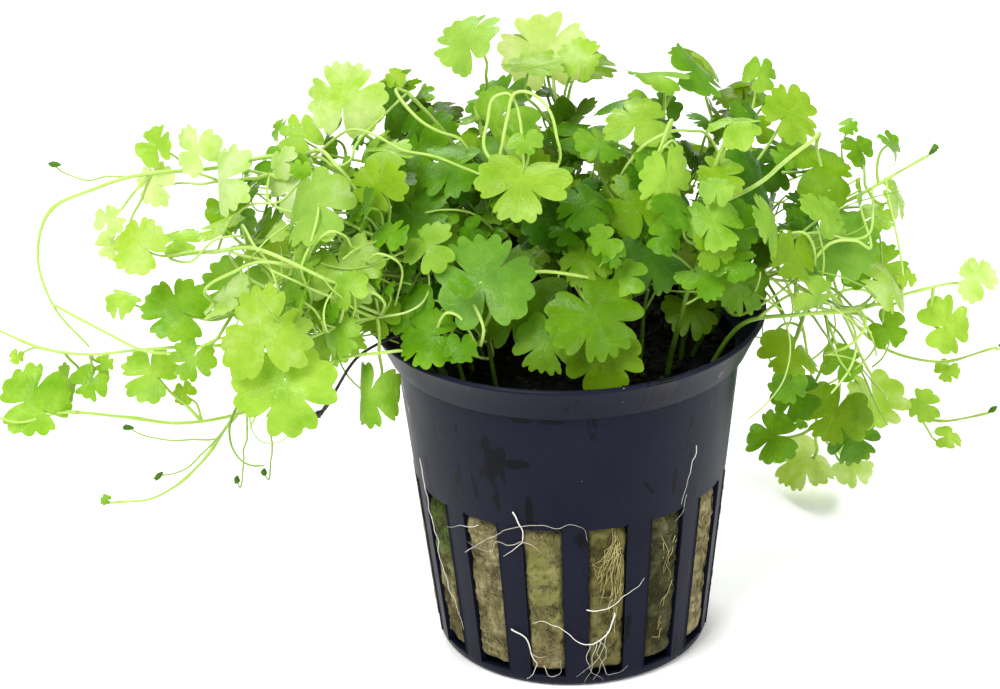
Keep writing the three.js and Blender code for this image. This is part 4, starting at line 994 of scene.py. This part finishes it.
def rootlets():
    """Hair roots over the wool in the slots, more of them in the first slot than in the other."""
    rng = np.random.default_rng(SEED + 5)
    piece = Piece()
    for route in ROOTLETS:
        for _ in range(ROOTLET_COPIES[route[0][0] > ROOTLETS_MOST_TO]):
            angles, heights = (np.array(route) + rng.normal(0, ROOTLET_SPREAD, (len(route), 2))).T
            angles = np.radians(angles)
            points = round_pot(plug_side(angles, heights) + ROOTLET_CLEARANCE, angles, heights)
            path = wander(spline(points, 7), *ROOTLET_WANDER, rng.uniform(0, 50))
            add_tube(piece, path, np.linspace(*ROOTLET_RADII, len(path)), 5)
    piece.finish("rootlets", ["rootlet"], "root")


def crumbs():
    """Dark crumbs and flecks of moss on the plug's top."""
    rng = np.random.default_rng(SEED + 2)
    piece = Piece()
    corners = np.array([[1, 0, 0], [0, 1, 0], [-1, 0, 0], [0, -1, 0]], float)
    for _ in range(CRUMBS):
        radius = CRUMB_SPREAD * math.sqrt(rng.uniform(0, 1))
        centre = round_pot(radius, rng.uniform(0, 2 * math.pi), PLUG_TOP + rng.uniform(0, CRUMB_HEIGHT))
        size = rng.uniform(*CRUMB_SIZES) * CRUMB_SHAPE
        ring = corners * rng.uniform(*CRUMB_CORNERS, (4, 1)) * size + centre
        up = np.array([0, 0, size[2]])
        add_rings(piece, ring[None], centre - up, centre + up, tone=(rng.uniform(0, 1), 0))
    piece.finish("crumbs", ["crumb"], "wool_plug")


def has_room(centre, radius, placed):
    """Whether a small leaf is near the larger ones but not on another one, inside the CAD box,
    clear of the pot, and off the open soil in front."""
    others, (x, y, z) = np.array(placed), centre
    gaps = np.linalg.norm(others[:, :3] - centre, axis=1)
    crowded = (gaps < (others[:, 3] + radius) * FILL_OVERLAP).any()
    in_middle = abs(x) < FILL_MIDDLE and z < FILL_MIDDLE_TOP
    near = gaps[:len(LARGE_LEAVES)].min() <= FILL_REACH or in_middle
    margin = FILL_MARGIN * radius
    inside = (centre - margin > LOW).all() and (centre + margin < HIGH).all()
    beyond = z > FILL_TOP or abs(x) > FILL_SIDES
    on_pot = np.hypot(x, y) < RIM_RADIUS + radius and z < POT_HEIGHT + radius
    over_soil = OPEN_SOIL[0] < x < OPEN_SOIL[1] and y < OPEN_SOIL_BACK and z < OPEN_SOIL_TOP
    return near and inside and not (crowded or beyond or on_pot or over_soil)


def leaf_spacing(name):
    """The length of a stem for each small leaf that is tried on it."""
    if name.startswith("runner"):
        return FILL_SPACING_RUNNER
    return FILL_SPACING_LEFT if "left" in name else FILL_SPACING


def side_of(centre):
    """The part of the plant that a place belongs to."""
    if abs(centre[0]) > FILL_MIDDLE:
        return "left" if centre[0] < 0 else "right"
    return "front" if centre[1] < BACK_BEYOND else "back"


def add_small_leaf(piece, start, centre, radius, outward, rng):
    """A leaf that faces up and away from the plant's heart."""
    face = unit(outward * [1, 1, 0.5] + [0, -0.3, 0.7] + rng.normal(0, 0.5, 3))
    turn, tilt = math.atan2(face[0], -face[1]), math.asin(face[2])
    axes = leaf_axes(math.degrees(turn), math.degrees(tilt), rng.uniform(0, 360))
    # Its tone holds painted light and shade, as for the larger leaves, kept below the palest.
    pale, variety = leaf_tone(centre, rng)
    tone = (min(pale, FILL_PALEST), variety)
    add_leaf(piece, start, centre, radius, axes, rng.uniform(*FILL_CUTS), tone, rng)


def fill(lines):
    """Small leaves between the larger ones, each on a stalk from a stem close by."""
    rng = np.random.default_rng(SEED + 3)
    pieces = {side: Piece() for side in ("left", "front", "back", "right")}
    placed = list(LARGE_LEAVES)
    for name, line in lines.items():
        if name == "dead_stem":
            continue
        length = np.linalg.norm(np.diff(line, axis=0), axis=1).sum()
        for _ in range(int(length / leaf_spacing(name))):
            start = at_share(line, rng.uniform(FILL_FROM, 1))
            outward = unit(start - HEART)
            away = unit(outward + [0, 0, 0.7] + rng.normal(0, FILL_SCATTER, 3))
            centre = start + away * rng.uniform(*FILL_AWAY)
            radius = FILL_RADIUS + FILL_RADIUS_MORE * rng.uniform(0, 1) ** 1.4
            if has_room(centre, radius, placed):
                placed.append(np.array([*centre, radius]))
                add_small_leaf(pieces[side_of(centre)], start, centre, radius, outward, rng)
    for side, piece in pieces.items():
        piece.finish(f"small_leaves_{side}", ["leaf", "stem"], "leaf")


def thread(start, length, rng):
    """A route away from the plant's heart that curls evenly as it goes, sometimes hardly."""
    heading = unit(unit(start - HEART) + rng.normal(0, 0.7, 3))
    axis = unit(rng.normal(0, 1, 3))
    turn = rng.normal(0, THREAD_TURN) / THREAD_STEPS
    step = length / THREAD_STEPS
    route = [start]
    for _ in range(THREAD_STEPS):
        heading = unit(heading * math.cos(turn) + np.cross(axis, heading) * math.sin(turn)
                       + axis * (axis @ heading) * (1 - math.cos(turn)) + rng.normal(0, 0.05, 3))
        route.append(route[-1] + heading * step)
    return np.array(route)


def has_way(route):
    """Whether a thread stays among the leaves, inside the CAD box, and off the pot and its plug
    once it has left its stem."""
    among = abs(route[:, 0]).max() < THREAD_SIDES and route[:, 2].max() < THREAD_TOP
    among = among and route[:, 2].min() > THREAD_BOTTOM
    x, y, z = route[1:].T
    inside = (route[1:] > LOW + 0.5).all() and (route[1:] < HIGH - 0.5).all()
    return among and inside and not ((np.hypot(x, y) < RIM_RADIUS + 0.6) & (z < POT_HEIGHT + 1)).any()


def nearest_ahead(points, place, heading):
    """The point that is nearest to a place, where one straight ahead counts as nearer."""
    away = points - place
    distance = np.linalg.norm(away, axis=1)
    return points[(distance * (2.2 - unit(away) @ unit(heading))).argmin()]


def joined(route, stems):
    """A stalk's route, led on from both of its ends to a stem."""
    first = nearest_ahead(stems, route[0], route[0] - route[1])
    last = nearest_ahead(stems, route[-1], route[-1] - route[-2])
    return np.vstack([first, route, last])


def arches(piece, lines):
    """The bare stalks that cross in front of the leaves."""
    stems = np.vstack(list(lines.values()))
    stems = stems[stems[:, 2] > STEMS_FREE_ABOVE]
    for radius, route in ARCS:
        path = wander(spline(joined(np.array(route), stems), 8), *ARC_WANDER, radius)
        add_tube(piece, path, np.linspace(radius, radius * ARC_TIP, len(path)), STEM_SIDES, tone=ARC_TONE)


def threads(lines):
    """Thin side stems and old stalks that curl among the shoots."""
    rng = np.random.default_rng(SEED + 4)
    for side, number in THREADS.items():
        piece = Piece()
        names = [name for name in lines if side in name or (side == "crown" and "front" in name)]
        for _ in range(number * THREAD_TRIES):
            start = at_share(lines[rng.choice(names)], rng.uniform(*THREAD_FROM))
            route = thread(start, rng.uniform(*THREAD_LENGTHS), rng)
            if number and has_way(route):
                thick = rng.uniform(*THREAD_RADII)
                tone = (rng.uniform(*THREAD_TONES), rng.uniform(0, 1))
                path = spline(route, 3)
                radii = np.linspace(thick, thick * THREAD_TIP, len(path))
                add_tube(piece, path, radii, STALK_SIDES, tone=tone)
                number -= 1
        if side == "crown":
            arches(piece, lines)
        piece.finish(f"thin_stems_{side}", ["stem"], "stem")


class Value:
    """A number in a material's node tree, and what is worked out from it."""

    def __init__(self, socket):
        self.socket = socket
        self.tree = socket.id_data

    def maths(self, operation, other=0.0):
        return Value(add_node(self.tree, "Math", {0: self, 1: other}, operation=operation).outputs[0])

    def __add__(self, other):
        return self.maths("ADD", other)

    def __sub__(self, other):
        return self.maths("SUBTRACT", other)

    def __mul__(self, other):
        return self.maths("MULTIPLY", other)

    def step(self, low, high, start=0.0, end=1.0):
        """A smooth step from start to end as this goes from low to high."""
        inputs = {"Value": self, "From Min": low, "From Max": high, "To Min": start, "To Max": end}
        return Value(add_node(self.tree, "MapRange", inputs, interpolation_type="SMOOTHSTEP").outputs[0])

    def colours(self, stops):
        """The colour that this stands for, between stops."""
        node = add_node(self.tree, "ValToRGB", {"Fac": self})
        elements = node.color_ramp.elements
        while len(elements) < len(stops):
            elements.new(1.0)
        for element, (place, colour) in zip(elements, stops):
            element.position = place
            element.color = (*colour, 1)
        return node.outputs[0]


def add_node(tree, kind, inputs=None, **settings):
    """A shader node with its settings, and its inputs linked or set."""
    node = tree.nodes.new("ShaderNode" + kind)
    for key, value in settings.items():
        setattr(node, key, value)
    for key, value in (inputs or {}).items():
        socket = node.inputs[key]
        value = value.socket if isinstance(value, Value) else value
        if isinstance(value, bpy.types.NodeSocket):
            tree.links.new(value, socket)
        else:
            socket.default_value = (*value, 1) if socket.type == "RGBA" else value
    return node


def object_place(tree):
    """A place on the object."""
    return add_node(tree, "TexCoord").outputs["Object"]


def parts(tree, place):
    """The three numbers of a place."""
    return [Value(output) for output in add_node(tree, "SeparateXYZ", {"Vector": place}).outputs]


def uv_parts(tree, name):
    """The two numbers of a UV map."""
    return parts(tree, add_node(tree, "UVMap", uv_map=name).outputs[0])[:2]


def speckle(tree, scale, detail=4.0, stretch=(1, 1, 1), roughness=0.6):
    """Noise over the object, in features of a size given by the scale."""
    place = add_node(tree, "Mapping", {"Vector": object_place(tree), "Scale": stretch}).outputs[0]
    inputs = {"Vector": place, "Scale": scale, "Detail": detail, "Roughness": roughness}
    return Value(add_node(tree, "TexNoise", inputs).outputs[0])


def blend(tree, factor, first, second, how="MIX"):
    """Two colours mixed by a factor."""
    inputs = {0: factor, 6: first, 7: second}
    return add_node(tree, "Mix", inputs, data_type="RGBA", blend_type=how).outputs[2]


def bumped(tree, height, strength, distance=BUMP_HEIGHT):
    """The way that a surface faces where a height makes it uneven."""
    return add_node(tree, "Bump", {"Height": height, "Strength": strength, "Distance": distance}).outputs[0]


def skin(tree, colour, rough, gloss, normal):
    """A surface that light comes back from."""
    inputs = {"Base Color": colour, "Roughness": rough, "Specular IOR Level": gloss, "Normal": normal}
    return add_node(tree, "BsdfPrincipled", inputs).outputs[0]


def lit_through(tree, surface, share, colour, normal):
    """A surface that also lets a share of the light through, in a colour."""
    through = add_node(tree, "BsdfTranslucent", {"Color": colour, "Normal": normal}).outputs[0]
    return add_node(tree, "MixShader", {0: share, 1: surface, 2: through}).outputs[0]


def make_material(name, paint, *settings, **more):
    """A material with the surface that a function paints."""
    material = bpy.data.materials.new(name)
    material.use_nodes = True
    tree = material.node_tree
    tree.nodes.clear()
    add_node(tree, "OutputMaterial", {"Surface": paint(tree, *settings, **more)})
    return material


def leaf_veins(tree):
    """Thin pale lines: one along the middle of each lobe, and side veins off it. Also how far
    out a place is."""
    x, y = ((part - 0.5) * 2.5 for part in uv_parts(tree, LEAF_UV))
    away = (x * x + y * y).maths("SQRT")
    turned = (x.maths("ARCTAN2", y) + 3 * math.pi).maths("FLOORED_MODULO", LOBE_SPACING)
    beside = (turned - LOBE_SPACING / 2).maths("ABSOLUTE")
    along, across = away * beside.maths("COSINE"), away * beside.maths("SINE")
    middle = across.step(0.008, 0.035, 1.0, 0.0)
    cell = ((along - across * 0.8) * 4.2).maths("FRACT")
    side = (cell - 0.5).maths("ABSOLUTE").step(0.03, 0.13, 0.6, 0.0)
    return middle.maths("MAXIMUM", side), away


def leaf_surface(tree):
    """A wet, uneven leaf: green by its tone, with its painted light and shade, some warmer, some with a
    painted grey-green sheen, paler at veins and edge.
    """
    pale, variety = uv_parts(tree, TONE_UV)
    veins, away = leaf_veins(tree)
    patch, grain, swell = speckle(tree, 260, 3), speckle(tree, 2600, 2), speckle(tree, 120, 2)
    colour = (pale + (patch - 0.5) * 0.5).colours(LEAF_COLOURS)
    for share, tint in ((variety.step(0.55, 1.0) * 0.35, (0.30, 0.42, 0.006)),
                        # A painted sheen: a grey-green gloss on some leaves.
                        (variety.step(0.0, 0.14, 0.2, 0.0), (0.20, 0.36, 0.13)),
                        (veins * 0.04, (0.45, 0.62, 0.12)),
                        (away.step(0.8, 1.0, 0, 0.12), (0.40, 0.58, 0.07))):
        colour = blend(tree, share, colour, tint)
    normal = bumped(tree, veins * -0.12 + grain * 0.35 + patch * 1.6 + swell * 3.5, 0.5)
    rough = speckle(tree, 420, 2).step(0.35, 0.65, 0.14, 0.48)
    through = blend(tree, 1.0, colour, (1.0, 0.98, 0.42), "MULTIPLY")
    through = blend(tree, 0.15, through, (0.60, 0.85, 0.08))
    return lit_through(tree, skin(tree, colour, rough, 0.17, normal), 0.38, through, normal)


def plain_surface(tree, stops, scale, roughness, bump, by_tone=0.0, glow=0.0, gloss=0.5):
    """A surface whose colour follows noise and tone, with bump from the same noise."""
    patch, fine = speckle(tree, scale, 5), speckle(tree, scale * 6, 3)
    shade = patch
    if by_tone:
        shade = patch * (1 - by_tone) + uv_parts(tree, TONE_UV)[0] * by_tone
    colour, normal = shade.colours(stops), bumped(tree, patch + fine * 0.5, bump)
    surface = skin(tree, colour, fine.step(0.3, 0.7, *roughness), gloss, normal)
    return lit_through(tree, surface, glow, colour, normal) if glow else surface


def wet_mark(tree, streak, degrees, z, wide, tall, lean):
    """A ragged oval on the pot's wall: 1 inside it and 0 outside."""
    angle = math.radians(degrees)
    middle = round_pot(wall_radius(z), angle, z) * MM
    size = (1 / (wide * MM), 1 / (wide * MM), 1 / (tall * MM))
    place = add_node(tree, "Mapping", {"Vector": object_place(tree), "Location": -middle}).outputs[0]
    inputs = {"Vector": place, "Axis": round_pot(1, angle, 0), "Angle": math.radians(lean)}
    place = add_node(tree, "VectorRotate", inputs, rotation_type="AXIS_ANGLE").outputs[0]
    place = add_node(tree, "VectorMath", {0: place, 1: size}, operation="MULTIPLY").outputs[0]
    reach = Value(add_node(tree, "VectorMath", {0: place}, operation="LENGTH").outputs["Value"])
    return (reach + (streak - 0.5) * 0.8).step(0.85, 1.0, 1.0, 0.0)


def pot_surface(tree):
    """Dark plastic with a wet sheen: streaks, darker wet marks, dust specks."""
    cloud, streak = speckle(tree, 90, 4), speckle(tree, 300, 5, (1, 1, 0.25))
    wet = streak.step(0.60, 0.66)
    for mark in WET_MARKS:
        wet = wet.maths("MAXIMUM", wet_mark(tree, streak, *mark))
    colour = blend(tree, wet * 0.9, cloud.colours(POT_COLOURS), (0.0012, 0.0014, 0.003))
    dots = add_node(tree, "TexVoronoi", {"Vector": object_place(tree), "Scale": 420.0}).outputs["Distance"]
    specks = Value(dots).step(0.05, 0.09, 1.0, 0.0) * speckle(tree, 500, 1).step(0.62, 0.66)
    colour = blend(tree, specks * 0.7, colour, (0.25, 0.25, 0.22))
    rough = cloud.step(0.3, 0.7, 0.34, 0.44) - wet * 0.22
    return skin(tree, colour, rough, 0.085, bumped(tree, cloud * 0.6 + wet * 0.12, 0.25))


def wool_surface(tree):
    """Khaki wool, mottled, green in the slots that algae have reached, and nearly black on top: the wet,
    mossy top's own dark colour with painted shade from the leaves over it.
    """
    x, y, z = parts(tree, object_place(tree))
    patch = speckle(tree, 190, 5, (1, 1, 0.6), 0.64)
    fine = (speckle(tree, 1300, 3, (1, 1, 0.18)) + speckle(tree, 700, 3, (0.5, 0.5, 2.0))) * 0.5
    colour = blend(tree, fine.step(0.44, 0.60, 0.0, 0.6), patch.colours(WOOL_COLOURS), (0.045, 0.036, 0.014))
    angle, height = x.maths("ARCTAN2", y * -1.0), z + (patch - 0.5) * 0.03
    for degrees, half_width, low, high, tint in ALGAE:
        beside = (angle - math.radians(degrees)).maths("ABSOLUTE")
        near = beside.step(math.radians(half_width), math.radians(half_width + 2), 1.0, 0.0)
        above = height.step((low - 5) * MM, (low + 5) * MM)
        below = height.step((high - 5) * MM, (high + 5) * MM, 1.0, 0.0)
        grown = blend(tree, fine, tint, (tint[0] * 0.25, tint[1] * 0.3, tint[2] * 0.3))
        colour = blend(tree, near * (above * below) * 0.8, colour, grown)
    # Painted shade: the top and the last millimetres of the side are nearly black, as under the leaves.
    colour = blend(tree, z.step(36 * MM, 38 * MM), colour, patch.colours(SHADED_TOP_COLOURS))
    normal = bumped(tree, patch + fine * 0.8, 0.9, WOOL_BUMP_HEIGHT)
    return skin(tree, colour, 0.8, 0.1, normal)


def floor_surface(tree):
    """Nearly white paint."""
    inputs = {"Base Color": speckle(tree, 3, 3).colours(FLOOR_COLOURS), "Roughness": 0.9}
    return add_node(tree, "BsdfPrincipled", inputs).outputs[0]


def plain(name, *settings, **more):
    """A plain material."""
    return make_material(name, plain_surface, *settings, **more)


def floor_and_lights():
    """A pale floor under a white sky, with three lamps."""
    bpy.ops.mesh.primitive_plane_add(size=6, location=(0, 0, -0.0001))
    floor = bpy.context.object
    floor.name = "floor"
    floor.data.materials.append(make_material("floor_paint", floor_surface))
    world = bpy.data.worlds.new("studio")
    bpy.context.scene.world = world
    world.use_nodes = True
    sky = world.node_tree.nodes["Background"].inputs
    sky[0].default_value = (1, 1, 1, 1)
    sky[1].default_value = SKY_STRENGTH
    for name, place, size, energy in LIGHTS:
        data = bpy.data.lights.new(name, "AREA")
        data.size = size
        data.energy = energy
        light = bpy.data.objects.new(name, data)
        light.location = place
        light.rotation_euler = (Vector((0, 0, 0.05)) - light.location).to_track_quat("-Z", "Y").to_euler()
        bpy.context.scene.collection.objects.link(light)
    bpy.context.scene.view_settings.view_transform = "Standard"


def camera():
    """The photo's view: from the front, looking down, turned a little about its own axis."""
    turned = Matrix.Rotation(math.radians(90 - CAMERA_ELEVATION), 4, "X")
    turned = turned @ Matrix.Rotation(math.radians(CAMERA_ROLL), 4, "Z")
    data = bpy.data.cameras.new("camera")
    data.lens = CAMERA_LENS
    data.clip_start = 0.01
    eye = bpy.data.objects.new("camera", data)
    bpy.context.scene.collection.objects.link(eye)
    away = turned @ Vector((0, 0, CAMERA_DISTANCE))
    eye.matrix_world = Matrix.Translation(Vector(CAMERA_TARGET) + away) @ turned
    bpy.context.scene.camera = eye


MATERIALS = {
    "leaf": make_material("leaf", leaf_surface),
    # The stem's colour follows its tone, which holds painted shade in the plant's heart.
    "stem": plain("stem", STEM_COLOURS, 300, (0.28, 0.45), 0.25, by_tone=0.75, glow=0.2),
    "dead": plain("dead_stem", DEAD_COLOURS, 500, (0.5, 0.8), 0.6),
    "rootlet": plain("rootlet", ROOTLET_COLOURS, 500, (0.35, 0.6), 0.3, glow=0.1),
    "root": plain("root", ROOT_COLOURS, 500, (0.35, 0.6), 0.3, by_tone=0.7, glow=0.15),
    "fibre": plain("wool_fibre", FIBRE_COLOURS, 600, (0.6, 0.9), 0.3, by_tone=0.8, gloss=0.2),
    "crumb": plain("crumb", CRUMB_COLOURS, 700, (0.5, 0.9), 0.7, by_tone=0.85, gloss=0.08),
    "pot": make_material("pot_plastic", pot_surface),
    "wool": make_material("wool", wool_surface),
}
camera()
floor_and_lights()
for build in (pot, plug, fibres, crumbs, roots, rootlets):
    build()
rows = {**front_rows(), **back_rows()}
LARGE_LEAVES = np.array([leaf[:4] for _, leaves in rows.values() for leaf in leaves if leaf[3] > BUD_RADIUS])
stem_lines = {name: shoot(name, *row, i) for i, (name, row) in enumerate(rows.items())}
fill(stem_lines)
threads(stem_lines)
